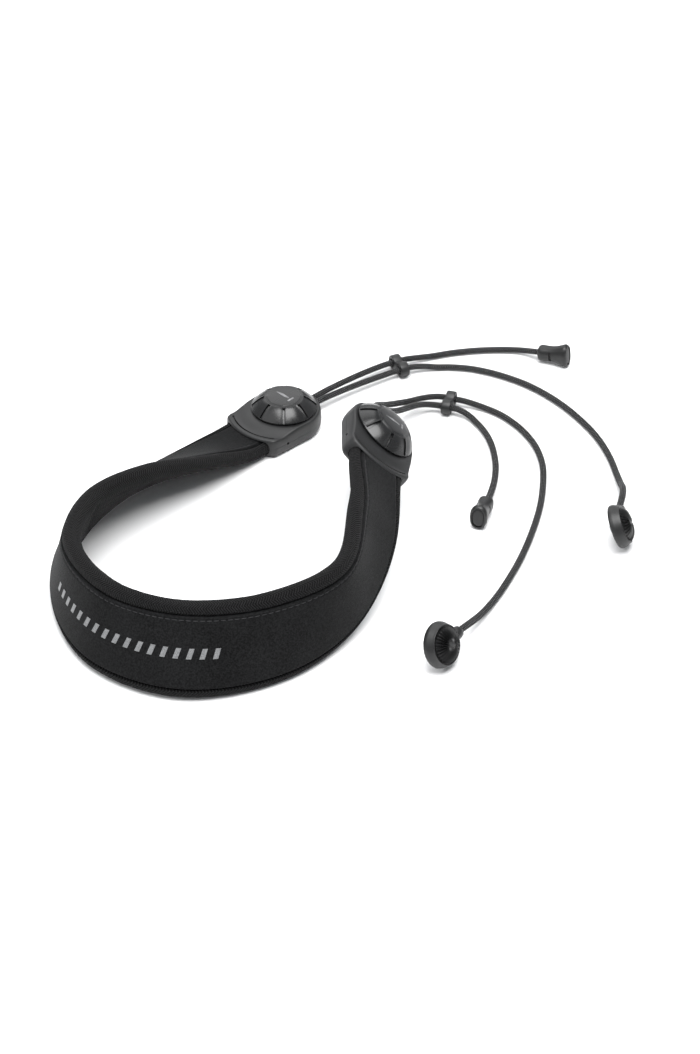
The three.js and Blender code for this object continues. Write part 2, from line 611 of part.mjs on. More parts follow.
function connector(side, place) {
  const group = placed(place);
  const bore = HUB_RADIUS + GAP;
  const ring = turned([
    [bore, 0], [DISC_RADIUS - 0.5, 0], [DISC_RADIUS, 0.6], [DISC_RADIUS - 0.1, 2.4],
    [DISC_FRONT_RADIUS + 0.4, DISC_HEIGHT - 0.4], [DISC_FRONT_RADIUS, DISC_HEIGHT], [bore, DISC_HEIGHT],
  ]);
  const collar = bar(3.1, 8, COLLAR_END, 16).rotateX(-Math.PI / 2).translate(0, 0, DISC_HEIGHT / 2);
  group.add(mesh(`${side}_connector_ring`, join(ring, collar), DARK_PLASTIC));
  group.add(connectorHub(`${side}_connector_hub`));
  group.add(lugPin(`${side}_connector_pin`));
  return group;
}

// The ribbed dome and the shaft that turns in the ring; its back face carries the lug pin.
function connectorHub(name) {
  const front = DISC_HEIGHT + GAP;
  const hub = turned([
    [0, 0.5], [HUB_RADIUS, 0.5], [HUB_RADIUS, front], [DISC_FRONT_RADIUS - 0.4, front],
    [DISC_FRONT_RADIUS - 0.6, front + 0.8], [6.6, front + DOME_HEIGHT - 0.5],
    [3.4, front + DOME_HEIGHT], [0, front + DOME_HEIGHT],
  ]);
  return mesh(name, cut(hub, bar(1.4, -1, 4, 16)), DARK_PLASTIC);
}

function lugPin(name) {
  const tip = -LUG_PIN_LENGTH;
  const profile = [
    [0, tip], [1.5, tip], [1.7, tip + 0.3], [1.7, tip + 0.9], [1.05, tip + 1.2], [1.05, 3.6], [0, 3.6],
  ];
  return mesh(name, turned(profile, 16), STEEL);
}

// ---------------------------------------------------------------- assembly
function adjuster(side, group) {
  group.add(...housingShells(side));
  SCREW_PLACES.forEach((place, i) => group.add(caseScrew(`${side}_case_screw_${i + 1}`, place)));
  group.add(dial(`${side}_dial`), dialCap(`${side}_dial_cap`), dialScrew(`${side}_dial_screw`));
  group.add(camPlate(`${side}_cam_plate`), clampJaw(`${side}_clamp_jaw`), cordPost(`${side}_cord_post`));
  group.add(anchorPin(`${side}_anchor_pin`), heldCord(`${side}_held_cord`));
  return group;
}

const rightGroup = placed(RIGHT_ADJUSTER);
const leftGroup = placed(LEFT_ADJUSTER);

const strap = new THREE.Group();
strap.add(...padPieces(rightGroup, leftGroup));
strap.add(adjuster("right", rightGroup), adjuster("left", leftGroup));
strap.add(freeCord("right_lead_cord", RIGHT_LEAD_ROUTE), freeCord("right_tail_cord", RIGHT_TAIL_ROUTE));
strap.add(freeCord("left_lead_cord", LEFT_LEAD_ROUTE), freeCord("left_tail_cord", LEFT_TAIL_ROUTE));
strap.add(slider("right_slider", RIGHT_SLIDER), slider("left_slider", LEFT_SLIDER));
strap.add(endCap("right", RIGHT_CAP), endCap("left", LEFT_CAP));
strap.add(connector("right", LOWER_CONNECTOR), connector("left", UPPER_CONNECTOR));

export default strap;
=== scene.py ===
import json
import math

import bpy
import numpy as np
from mathutils import Matrix, Vector


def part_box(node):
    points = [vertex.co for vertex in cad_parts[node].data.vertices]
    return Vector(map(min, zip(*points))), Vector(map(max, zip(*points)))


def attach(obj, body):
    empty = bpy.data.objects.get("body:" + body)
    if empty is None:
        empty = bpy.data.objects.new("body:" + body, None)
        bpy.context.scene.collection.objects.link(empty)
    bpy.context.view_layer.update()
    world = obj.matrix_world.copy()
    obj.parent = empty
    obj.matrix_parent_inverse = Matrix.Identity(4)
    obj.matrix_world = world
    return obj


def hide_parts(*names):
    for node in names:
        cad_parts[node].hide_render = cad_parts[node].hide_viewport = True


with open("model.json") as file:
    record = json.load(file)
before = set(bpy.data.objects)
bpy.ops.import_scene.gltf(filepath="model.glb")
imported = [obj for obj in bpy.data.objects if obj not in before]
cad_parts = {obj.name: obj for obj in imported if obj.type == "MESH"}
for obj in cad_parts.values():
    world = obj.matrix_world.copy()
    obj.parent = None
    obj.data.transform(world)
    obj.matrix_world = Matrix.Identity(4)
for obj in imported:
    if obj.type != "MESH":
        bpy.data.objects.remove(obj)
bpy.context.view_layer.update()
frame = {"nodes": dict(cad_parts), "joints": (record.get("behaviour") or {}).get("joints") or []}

MM = 0.001
GAP = 0.3
SIDES = ("right", "left")
JOINTS = {joint["name"]: joint for joint in frame["joints"]}

# ---------------------------------------------------------------- driving dimensions, as in the CAD
PAD_WIDTH, PAD_MOUTH_WIDTH = 50, 33.6
PAD_THICK, PAD_MOUTH_THICK = 9, 7.4
PANEL_PROUD = 0.4
PANEL_TOP_MARGIN, PANEL_BOTTOM_MARGIN = 7.5, 4.8
HOUSING_HEIGHT = 13
END_RADIUS, LIP_RADIUS, LIP_HALF = 21.2, 33.2, 19.7
WALL, FLOOR, ROOF = 2, 1.5, 11
SPLIT = 6.3
BAY_FRONT = -21.2
MOUTH_DEPTH, MOUTH_HEIGHT = 10, 8.8
CORD_RADIUS = 2
PORT_X, PORT_RADIUS = 2.2, 2.5
DIAL_RADIUS, DIAL_TOP_RADIUS, DIAL_HEIGHT, DIAL_GROOVES = 18.75, 10.8, 7.6, 8
ANCHOR_Y, ANCHOR_RADIUS = -17, 1.25
SCREW_X, SCREW_Y = 15.4, 8.6
SLIDER_PITCH, SLIDER_RADIUS, SLIDER_LENGTH = 9.2, 4.5, 5.4
DISC_HEIGHT, DOME_HEIGHT, COLLAR_END, HUB_RADIUS = 6, 3.4, 15.4, 5.8

# Places that no joint gives, in metres.
CAPS = {
    "right": ((0.1356, 0.0294, 0.0054), (-0.31, -0.945, 0.1)),
    "left": ((0.1736, 0.18, 0.0053), (0.912, -0.394, 0.11)),
}
CONNECTOR_OUT = {"right": (0.588, 0.805, -0.074), "left": (0.08, 0.99, 0.02)}

# Centres of the pad's rounded edges from the right adjuster round the neck to the left one, metres.
UPPER_EDGE = [
    (0.0643, -0.0372, 0.0516), (0.0558, -0.0816, 0.046), (0.0205, -0.104, 0.044),
    (-0.0208, -0.1072, 0.042), (-0.0567, -0.0938, 0.0435), (-0.08, -0.0571, 0.0445),
    (-0.0742, -0.0176, 0.0424), (-0.0482, 0.0182, 0.0332), (-0.0158, 0.0489, 0.0184),
]
LOWER_EDGE = [
    (0.0804, -0.0344, 0.0234), (0.0608, -0.0772, 0.0094), (0.0258, -0.1121, 0.0046),
    (-0.0229, -0.1249, 0.0046), (-0.0659, -0.1031, 0.0046), (-0.088, -0.0599, 0.0047),
    (-0.09, -0.013, 0.005), (-0.0708, 0.0311, 0.0064), (-0.0381, 0.0683, 0.0052),
]

# Centre lines of the free cords from the housing ports outwards, metres.
ROUTES = {
    "right_lead": [
        (0.0742, 0.0632, 0.0396), (0.0745, 0.071, 0.0386), (0.0756, 0.0805, 0.0343),
        (0.078, 0.092, 0.027), (0.0824, 0.1035, 0.0194), (0.0888, 0.1136, 0.0136),
        (0.096, 0.1224, 0.0092), (0.1016, 0.1284, 0.0068), (0.1074, 0.1324, 0.0052),
        (0.1134, 0.1335, 0.0047), (0.1196, 0.1317, 0.0046), (0.1262, 0.1296, 0.0045),
        (0.133, 0.1278, 0.0033), (0.14, 0.1249, 0.0022), (0.148, 0.1186, 0.0021),
        (0.1582, 0.1052, 0.0021), (0.1655, 0.0885, 0.0021), (0.1686, 0.071, 0.0021),
        (0.1682, 0.0545, 0.0021), (0.1642, 0.0267, 0.0021), (0.153, -0.0126, 0.0021),
        (0.1408, -0.042, 0.0021), (0.134, -0.0555, 0.0026), (0.128, -0.067, 0.0046),
        (0.1226, -0.077, 0.0078), (0.1192, -0.083, 0.0099), (0.1163, -0.0878, 0.0112),
    ],
    "right_tail": [
        (0.0775, 0.0629, 0.0367), (0.078, 0.0708, 0.0356), (0.0798, 0.0805, 0.0306),
        (0.0834, 0.091, 0.0234), (0.0886, 0.102, 0.0164), (0.094, 0.1124, 0.0112),
        (0.099, 0.1194, 0.0081), (0.1044, 0.1237, 0.0059), (0.1104, 0.1247, 0.0047),
        (0.1168, 0.1229, 0.0046), (0.1228, 0.1208, 0.0045), (0.1286, 0.1172, 0.0033),
        (0.1336, 0.1106, 0.0022), (0.138, 0.101, 0.0021), (0.1412, 0.088, 0.0021),
        (0.1425, 0.07, 0.0021), (0.1412, 0.0545, 0.0025), (0.1386, 0.041, 0.0039),
        (0.1357, 0.0298, 0.0054),
    ],
    "left_lead": [
        (0.0405, 0.1245, 0.0063), (0.0455, 0.129, 0.0062), (0.0525, 0.1348, 0.006),
        (0.0604, 0.1412, 0.0056), (0.0696, 0.1481, 0.0052), (0.0794, 0.155, 0.0048),
        (0.087, 0.1598, 0.0047), (0.0921, 0.1624, 0.0046), (0.0982, 0.1653, 0.0044),
        (0.1052, 0.1676, 0.0033), (0.112, 0.1686, 0.0022), (0.121, 0.1688, 0.0021),
        (0.132, 0.1672, 0.0021), (0.1434, 0.1632, 0.0021), (0.1555, 0.1566, 0.0021),
        (0.1666, 0.1484, 0.0021), (0.181, 0.1328, 0.0021), (0.1927, 0.1148, 0.0021),
        (0.2015, 0.096, 0.0021), (0.207, 0.0763, 0.0021), (0.2094, 0.06, 0.0022),
        (0.2102, 0.047, 0.0052), (0.2101, 0.0355, 0.0102), (0.2086, 0.0246, 0.013),
        (0.2062, 0.0146, 0.0136),
    ],
    "left_tail": [
        (0.0373, 0.1276, 0.0063), (0.0424, 0.1329, 0.0062), (0.0494, 0.14, 0.006),
        (0.058, 0.1481, 0.0056), (0.0672, 0.1562, 0.0052), (0.0754, 0.1629, 0.0048),
        (0.0828, 0.1679, 0.0047), (0.088, 0.1706, 0.0046), (0.094, 0.1737, 0.0044),
        (0.101, 0.1769, 0.0034), (0.109, 0.1802, 0.0023), (0.122, 0.1843, 0.0021),
        (0.137, 0.187, 0.0021), (0.15, 0.1878, 0.0021), (0.162, 0.1866, 0.0026),
        (0.1733, 0.1802, 0.0053),
    ],
}


# ---------------------------------------------------------------- camera, floor and light
def look_at(obj, target):
    direction = Vector(target) - obj.location
    obj.rotation_euler = direction.to_track_quat("-Z", "Y").to_euler()


def add_camera():
    camera = bpy.data.objects.new("camera", bpy.data.cameras.new("camera"))
    bpy.context.scene.collection.objects.link(camera)
    camera.location = (0.061, -1.0242, 0.7824)
    look_at(camera, (0.061, 0.014, 0))
    camera.data.sensor_width = 36
    camera.data.lens = 81.97
    bpy.context.scene.camera = camera


def area_light(name, place, target, size, watts):
    data = bpy.data.lights.new(name, "AREA")
    data.shape = "SQUARE"
    data.size = size
    data.energy = watts
    lamp = bpy.data.objects.new(name, data)
    bpy.context.scene.collection.objects.link(lamp)
    lamp.location = place
    look_at(lamp, target)


def add_studio():
    middle = (0.06, 0.03, 0)
    area_light("key", (-0.95, -0.4, 1.1), middle, 1.3, 6)
    area_light("overhead", (0.18, -0.22, 1.4), middle, 1.1, 33)
    area_light("back", (-0.15, 1.3, 1.15), middle, 1.4, 9)
    world = bpy.data.worlds.new("studio")
    world.use_nodes = True
    world.node_tree.nodes["Background"].inputs["Color"].default_value = (0.95, 0.97, 1, 1)
    world.node_tree.nodes["Background"].inputs["Strength"].default_value = 0.5
    bpy.context.scene.world = world
    bpy.context.scene.view_settings.view_transform = "Standard"
    half = 4.0
    corners = [(-half, -half, 0), (half, -half, 0), (half, half, 0), (-half, half, 0)]
    mesh = bpy.data.meshes.new("floor")
    mesh.from_pydata(corners, [], [(0, 1, 2, 3)])
    floor = bpy.data.objects.new("floor", mesh)
    floor.location.z = -0.2 * MM
    bpy.context.scene.collection.objects.link(floor)
    mesh.materials.append(new_material("floor", (0.9, 0.9, 0.9), 0.8)[0])


# ---------------------------------------------------------------- materials
def new_material(name, colour, roughness, metallic=0.0, shine=0.5):
    made = bpy.data.materials.new(name)
    made.use_nodes = True
    tree = made.node_tree
    shader = tree.nodes["Principled BSDF"]
    shader.inputs["Base Color"].default_value = (*colour, 1)
    shader.inputs["Roughness"].default_value = roughness
    shader.inputs["Metallic"].default_value = metallic
    shader.inputs["Specular IOR Level"].default_value = shine
    return made, tree, shader


def op(tree, operation, *values):
    """A Math node on numbers or sockets."""
    node = tree.nodes.new("ShaderNodeMath")
    node.operation = operation
    for socket, value in zip(node.inputs, values):
        if isinstance(value, (int, float)):
            socket.default_value = value
        else:
            tree.links.new(value, socket)
    return node.outputs[0]


def noise(tree, scale, detail=2.0, stretch=None):
    """Noise in the part's own metres, scale features to the metre."""
    coords = tree.nodes.new("ShaderNodeTexCoord").outputs["Object"]
    if stretch:
        mapping = tree.nodes.new("ShaderNodeMapping")
        mapping.inputs["Scale"].default_value = stretch
        tree.links.new(coords, mapping.inputs["Vector"])
        coords = mapping.outputs[0]
    node = tree.nodes.new("ShaderNodeTexNoise")
    node.inputs["Scale"].default_value = scale
    node.inputs["Detail"].default_value = detail
    tree.links.new(coords, node.inputs["Vector"])
    return node.outputs["Fac"]


def ranged(tree, value, low, high, to_low, to_high):
    node = tree.nodes.new("ShaderNodeMapRange")
    tree.links.new(value, node.inputs["Value"])
    for name, number in (("From Min", low), ("From Max", high), ("To Min", to_low), ("To Max", to_high)):
        node.inputs[name].default_value = number
    return node.outputs["Result"]


def tint(tree, shader, factor, dark, light):
    mix = tree.nodes.new("ShaderNodeMix")
    mix.data_type = "RGBA"
    mix.inputs["A"].default_value = (*dark, 1)
    mix.inputs["B"].default_value = (*light, 1)
    tree.links.new(factor, mix.inputs["Factor"])
    tree.links.new(mix.outputs["Result"], shader.inputs["Base Color"])


def bump(tree, shader, height, distance, strength=1.0):
    node = tree.nodes.new("ShaderNodeBump")
    node.inputs["Distance"].default_value = distance
    node.inputs["Strength"].default_value = strength
    tree.links.new(height, node.inputs["Height"])
    tree.links.new(node.outputs["Normal"], shader.inputs["Normal"])


def weave_uv(tree):
    """Along and across the cloth in millimetres, from the piece's weave map."""
    uv = tree.nodes.new("ShaderNodeUVMap")
    uv.uv_map = "weave"
    split = tree.nodes.new("ShaderNodeSeparateXYZ")
    tree.links.new(uv.outputs["UV"], split.inputs["Vector"])
    return split.outputs["X"], split.outputs["Y"]


def wave(tree, phase):
    """0 to 1 and back once for each whole number of phase."""
    turned = op(tree, "COSINE", op(tree, "MULTIPLY", phase, 2 * math.pi))
    return op(tree, "MULTIPLY_ADD", turned, 0.5, 0.5)


def air_mesh_material():
    rib_pitch, band = 1.45, 5.4
    made, tree, shader = new_material("air_mesh", (0.012, 0.012, 0.0125), 0.85, shine=0.1)
    along, across = weave_uv(tree)
    fold = op(tree, "PINGPONG", across, band / 2)
    ribs = wave(tree, op(tree, "MULTIPLY_ADD", fold, 0.75 / rib_pitch, op(tree, "DIVIDE", along, rib_pitch)))
    cross = wave(tree, op(tree, "DIVIDE", across, 0.8))
    knit = op(tree, "MULTIPLY_ADD", cross, 0.3, op(tree, "MULTIPLY", ribs, 0.7))
    rough = noise(tree, 900, 2)
    # The knit pattern in the base colour is partly the fabric's own and partly painted shade: the rib
    # valleys are painted dark and the ridges light, following the bump, with a random tone over it.
    shade = op(tree, "MULTIPLY", ranged(tree, knit, 0.15, 0.85, 0, 1),
               ranged(tree, rough, 0.3, 0.7, 0.55, 1.1))
    tint(tree, shader, shade, (0.0004, 0.0004, 0.0005), (0.0195, 0.0195, 0.02))
    bump(tree, shader, knit, 0.55 * MM, 1.0)
    shader.inputs["Sheen Weight"].default_value = 0.02
    shader.inputs["Sheen Roughness"].default_value = 0.5
    return made


def jersey_material():
    made, tree, shader = new_material("jersey", (0.01, 0.01, 0.0105), 0.8, shine=0.1)
    along, across = weave_uv(tree)
    wale = wave(tree, op(tree, "DIVIDE", along, 0.62))
    course = wave(tree, op(tree, "DIVIDE", across, 0.5))
    knit = op(tree, "MULTIPLY", wale, course)
    grain = noise(tree, 1150, 3)
    cloudy = noise(tree, 45, 2)
    shade = op(tree, "ADD", op(tree, "MULTIPLY", knit, 0.25), ranged(tree, grain, 0.36, 0.66, 0, 0.75))
    shade = op(tree, "ADD", shade, ranged(tree, cloudy, 0.35, 0.65, 0, 0.2))
    tint(tree, shader, shade, (0.0008, 0.0008, 0.0009), (0.0125, 0.0128, 0.0134))
    bump(tree, shader, op(tree, "ADD", knit, grain), 0.12 * MM, 0.6)
    shader.inputs["Sheen Weight"].default_value = 0.05
    shader.inputs["Sheen Roughness"].default_value = 0.4
    return made


def plastic_material(name, dark, light, roughness, grain=0.03, coat=0.0):
    """Moulded plastic: fine eroded grain, slight unevenness in tone and gloss, paler on worn edges."""
    made, tree, shader = new_material(name, light, roughness)
    fine = noise(tree, 3200, 2)
    cloudy = noise(tree, 60, 3)
    edge = tree.nodes.new("ShaderNodeNewGeometry").outputs["Pointiness"]
    worn = ranged(tree, edge, 0.5, 0.56, 0, 0.5)
    shade = op(tree, "ADD", op(tree, "ADD", ranged(tree, cloudy, 0.35, 0.65, 0.1, 0.5), worn),
               ranged(tree, fine, 0.35, 0.65, -0.1, 0.15))
    tint(tree, shader, shade, dark, light)
    gloss = ranged(tree, cloudy, 0.3, 0.7, roughness - 0.05, roughness + 0.07)
    tree.links.new(gloss, shader.inputs["Roughness"])
    bump(tree, shader, fine, grain * MM, 0.8)
    shader.inputs["Coat Weight"].default_value = coat
    shader.inputs["Coat Roughness"].default_value = 0.35
    return made


def braid_material(name, mapped=True):
    made, tree, shader = new_material(name, (0.012, 0.012, 0.0125), 0.6, shine=0.15)
    sparkle = noise(tree, 2400, 2)
    if mapped:
        along, turns = weave_uv(tree)
        rise = op(tree, "MULTIPLY", turns, float(BRAID_STRANDS))
        steps = op(tree, "DIVIDE", along, BRAID_PITCH)
        one = wave(tree, op(tree, "ADD", steps, rise))
        other = wave(tree, op(tree, "SUBTRACT", steps, rise))
        height = op(tree, "MULTIPLY", one, other)
    else:
        height = noise(tree, 1100, 1)
    # The base colour paints a highlight on the braid's ridges and shade in the gaps between its strands,
    # with the sparkle noise varying the painted highlight; the bump carries the relief itself.
    ridge_highlight_and_gap_shade = op(tree, "MULTIPLY", ranged(tree, height, 0.3, 0.75, 0, 1),
               ranged(tree, sparkle, 0.36, 0.6, 0.35, 1))
    tint(tree, shader, ridge_highlight_and_gap_shade, (0.0012, 0.0012, 0.0014), (0.2, 0.2, 0.203))
    bump(tree, shader, op(tree, "MULTIPLY_ADD", sparkle, 0.25, height), 0.22 * MM, 0.9)
    shader.inputs["Sheen Weight"].default_value = 0.03
    return made


def steel_material():
    made, tree, shader = new_material("steel", (0.6, 0.61, 0.63), 0.28, 1.0)
    streaks = noise(tree, 700, 3, stretch=(1, 1, 9))
    tint(tree, shader, streaks, (0.45, 0.46, 0.48), (0.68, 0.69, 0.71))
    tree.links.new(ranged(tree, streaks, 0.3, 0.7, 0.2, 0.38), shader.inputs["Roughness"])
    bump(tree, shader, streaks, 0.01 * MM, 0.5)
    return made


def cloth_material(name, dark, light, pitch):
    """Plain woven or foamed stuff that is only seen where the part is opened."""
    made, tree, shader = new_material(name, light, 0.9, shine=0.15)
    cells = noise(tree, 1 / (pitch * MM), 2)
    tint(tree, shader, cells, dark, light)
    bump(tree, shader, cells, 0.2 * MM, 0.8)
    return made


def film_material():
    made, tree, shader = new_material("reflective_film", (0.24, 0.245, 0.25), 0.42, shine=0.3)
    beads = noise(tree, 2600, 1)
    tint(tree, shader, ranged(tree, beads, 0.3, 0.7, 0, 1), (0.12, 0.122, 0.125), (0.26, 0.264, 0.268))
    bump(tree, shader, beads, 0.03 * MM, 0.6)
    return made


def mark_material():
    made, tree, shader = new_material("dial_mark", (0.3, 0.3, 0.31), 0.42, 0.4)
    worn = noise(tree, 500, 3)
    tint(tree, shader, ranged(tree, worn, 0.3, 0.7, 0, 1), (0.12, 0.12, 0.125), (0.3, 0.3, 0.305))
    bump(tree, shader, worn, 0.02 * MM, 0.6)
    return made


# ---------------------------------------------------------------- mesh helpers
def local_frame(origin, up, out):
    """Turns a part's own millimetres into metres in the frame of the whole."""
    z = Vector(up).normalized()
    x = Vector(out).cross(z).normalized()
    matrix = Matrix((x, z.cross(x), z)).transposed().to_4x4()
    matrix.translation = Vector(origin)
    return matrix @ Matrix.Scale(MM, 4)


def grid_faces(rows, columns, wrap=True, wrap_rows=False):
    faces = []
    for i in range(rows if wrap_rows else rows - 1):
        for j in range(columns if wrap else columns - 1):
            k = (j + 1) % columns
            here, there = i * columns, ((i + 1) % rows) * columns
            faces.append((here + j, here + k, there + k, there + j))
    return faces


def new_object(name, vertices, faces):
    mesh = bpy.data.meshes.new(name)
    mesh.from_pydata([tuple(v) for v in vertices], [], faces)
    mesh.validate()
    obj = bpy.data.objects.new(name, mesh)
    bpy.context.scene.collection.objects.link(obj)
    return obj


def ring_solid(name, rings):
    """A closed body through rings of equal length, closed at both ends to their middles."""
    rings = [np.asarray(ring, float) for ring in rings]
    count = len(rings[0])
    total = len(rings) * count
    vertices = np.concatenate([*rings, [rings[0].mean(0)], [rings[-1].mean(0)]])
    faces = grid_faces(len(rings), count)
    for j in range(count):
        k = (j + 1) % count
        faces.append((total, k, j))
        faces.append((total + 1, total - count + j, total - count + k))
    return outward(new_object(name, vertices, faces))


def outward(obj):
    """Turns a closed mesh's faces outwards."""
    mesh = obj.data
    count = len(mesh.vertices)
    points = np.zeros(count * 3)
    mesh.vertices.foreach_get("co", points)
    points = points.reshape(-1, 3)
    mesh.calc_loop_triangles()
    corners = np.zeros(len(mesh.loop_triangles) * 3, int)
    mesh.loop_triangles.foreach_get("vertices", corners)
    a, b, c = (points[corners.reshape(-1, 3)[:, k]] for k in range(3))
    if np.einsum("ij,ij->i", a, np.cross(b, c)).sum() < 0:
        mesh.flip_normals()
    return obj


def circle(radius, height, sides=64, centre=(0, 0)):
    angles = np.arange(sides) * 2 * math.pi / sides
    return np.stack([
        centre[0] + radius * np.cos(angles), centre[1] + radius * np.sin(angles), np.full(sides, height),
    ], 1)


def fillet(points, radius, closed=False, steps=4):
    """The line with each inner corner rounded off."""
    points = [np.asarray(p, float) for p in points]
    rounded = []
    for i, corner in enumerate(points):
        if not closed and i in (0, len(points) - 1):
            rounded.append(corner)
            continue
        before = points[i - 1] - corner
        after = points[(i + 1) % len(points)] - corner
        reach = min(radius, 0.45 * np.linalg.norm(before), 0.45 * np.linalg.norm(after))
        start = corner + before / np.linalg.norm(before) * reach
        end = corner + after / np.linalg.norm(after) * reach
        for k in range(steps + 1):
            t = k / steps
            rounded.append((1 - t) ** 2 * start + 2 * t * (1 - t) * corner + t * t * end)
    return rounded


def lathe(name, profile, sides=64, closed=False):
    """A body turned about z from [radius, height] points; closed profiles make a ring."""
    rings = [circle(radius, height, sides) for radius, height in profile]
    if not closed:
        return ring_solid(name, rings)
    faces = grid_faces(len(rings), sides, wrap_rows=True)
    return outward(new_object(name, np.concatenate(rings), faces))


def smoothstep(value, low, high):
    t = np.clip((value - low) / (high - low), 0, 1)
    return t * t * (3 - 2 * t)


def box_cutter(low, high):
    (x0, y0, z0), (x1, y1, z1) = low, high
    rings = [[(x0, y0, z), (x1, y0, z), (x1, y1, z), (x0, y1, z)] for z in (z0, z1)]
    return ring_solid("cutter", rings)


def stadium_bar(half_width, half_height, y0, y1, z, radius=None):
    """A bar along y with round ends, for cutting."""
    radius = radius or half_height
    ring = []
    for side, start in ((1, -90), (-1, 90)):
        for angle in np.radians(np.linspace(start, start + 180, 13)):
            squash = half_height / radius
            ring.append((
                side * (half_width - radius) + radius * math.cos(angle),
                z + squash * radius * math.sin(angle),
            ))
    return ring_solid("cutter", [[(x, y, height) for x, height in ring] for y in (y0, y1)])


def carve(obj, cutters, operation="DIFFERENCE"):
    """Cuts each tool out of obj and throws the tools away."""
    for cutter in cutters:
        modifier = obj.modifiers.new("cut", "BOOLEAN")
        modifier.operation = operation
        modifier.solver = "MANIFOLD"
        modifier.object = cutter
        evaluated = obj.evaluated_get(bpy.context.evaluated_depsgraph_get())
        mesh = bpy.data.meshes.new_from_object(evaluated)
        obj.modifiers.clear()
        obj.data = mesh
        bpy.data.objects.remove(cutter)
    return obj


def turned_to(obj, matrix):
    obj.data.transform(matrix)
    return obj


def dress(obj, name, surface, body, replaces=(), sharp=38):
    """Names a finished piece, gives it its material and lets it ride on its body."""
    obj.name = name
    obj.data.name = name
    obj.data.materials.clear()
    obj.data.materials.append(surface)
    obj.data.polygons.foreach_set("use_smooth", [True] * len(obj.data.polygons))
    obj.data.set_sharp_from_angle(angle=math.radians(sharp))
    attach(obj, body)
    if replaces:
        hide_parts(*replaces)
    return obj


def set_weave(obj, corner_uv):
    """Stores the weave map: along and across in millimetres, one pair for each face corner."""
    layer = obj.data.uv_layers.new(name="weave")
    layer.data.foreach_set("uv", np.asarray(corner_uv, np.float32).ravel())


def grid_uv(along, across, rows, columns, wrap):
    """Face-corner pairs for grid_faces, from arrays of [rows, columns (+ 1 where it wraps)]."""
    cells = columns if wrap else columns - 1
    uv = np.stack([along, across], -1)
    corners = np.stack([uv[:-1, :cells], uv[:-1, 1:cells + 1], uv[1:, 1:cells + 1], uv[1:, :cells]], 2)
    return corners.reshape(-1, 2)


# ---------------------------------------------------------------- cords
BRAID_PITCH = 1.45
BRAID_STRANDS = 6
CORD_ROUND = 28
CORD_STEP = 0.29
BRAID_DEPTH = 0.42
INTO_FITTING = 1.3


def catmull(points, count):
    """The centripetal Catmull-Rom line through the points, as the CAD draws it."""
    points = np.asarray(points, float)
    spans = len(points) - 1
    padded = np.vstack([2 * points[0] - points[1], points, 2 * points[-1] - points[-2]])
    line = []
    for t in np.linspace(0, spans, count):
        i = min(int(t), spans - 1)
        w = t - i
        a, b, c, d = padded[i:i + 4]
        ab, bc, cd = (np.linalg.norm(q - p) ** 0.5 for p, q in ((a, b), (b, c), (c, d)))
        leave = ((b - a) / ab - (c - a) / (ab + bc) + (c - b) / bc) * bc
        arrive = ((c - b) / bc - (d - b) / (bc + cd) + (d - c) / cd) * bc
        line.append(
            b * (2 * w**3 - 3 * w**2 + 1) + leave * (w**3 - 2 * w**2 + w)
            + c * (3 * w**2 - 2 * w**3) + arrive * (w**3 - w**2)
        )
    return np.array(line)


def arc_lengths(line):
    return np.concatenate([[0], np.cumsum(np.linalg.norm(np.diff(line, axis=0), axis=1))])


def evenly(line, step):
    """The line again, in points that lie step apart."""
    lengths = arc_lengths(line)
    wanted = np.linspace(0, lengths[-1], round(lengths[-1] / step) + 1)
    return np.stack([np.interp(wanted, lengths, line[:, k]) for k in range(3)], 1)


def tube_frames(line):
    """Tangents and a pair of cross directions that don't twist, along a line."""
    tangents = np.gradient(line, axis=0)
    tangents /= np.linalg.norm(tangents, axis=1)[:, None]
    normal = np.cross(tangents[0], (0, 0, 1))
    normals = []
    for tangent in tangents:
        normal = normal - tangent * normal.dot(tangent)
        normal /= np.linalg.norm(normal)
        normals.append(normal)
    normals = np.array(normals)
    return tangents, normals, np.cross(tangents, normals)


def braided_cord(name, route):
    line = catmull(route, 40 * len(route))
    ends = [line[0] - line[1], line[-1] - line[-2]]
    ends = [end / np.linalg.norm(end) * INTO_FITTING * MM for end in ends]
    line = evenly(np.vstack([line[0] + ends[0], line, line[-1] + ends[1]]), CORD_STEP * MM)
    along = arc_lengths(line) / MM
    _, across, up = tube_frames(line)
    angles = np.arange(CORD_ROUND) * 2 * math.pi / CORD_ROUND
    steps = (2 * math.pi / BRAID_PITCH) * along[:, None]
    rise = BRAID_STRANDS * angles[None]
    ridge = np.cos(steps / 2 + rise / 2) ** 2 * np.cos(steps / 2 - rise / 2) ** 2 * 2 - 1
    radius = MM * (CORD_RADIUS - BRAID_DEPTH * (1 - ridge) / 2)
    cosine, sine = np.cos(angles)[None, :, None], np.sin(angles)[None, :, None]
    rings = line[:, None] + radius[..., None] * (across[:, None] * cosine + up[:, None] * sine)
    obj = ring_solid(name, rings)
    turns = np.broadcast_to(np.arange(CORD_ROUND + 1) / CORD_ROUND, (len(line), CORD_ROUND + 1))
    lengths = np.broadcast_to(along[:, None], turns.shape)
    body = grid_uv(lengths, turns, len(line), CORD_ROUND, True)
    flipped = obj.data.polygons[0].vertices[0] != 0
    uv = np.zeros((len(obj.data.loops), 2))
    uv[:len(body)] = body
    if flipped:
        fixed = uv[:len(body)].reshape(-1, 4, 2)
        uv[:len(body)] = fixed[:, ::-1].reshape(-1, 2)
    set_weave(obj, uv)
    return obj, line[::6]


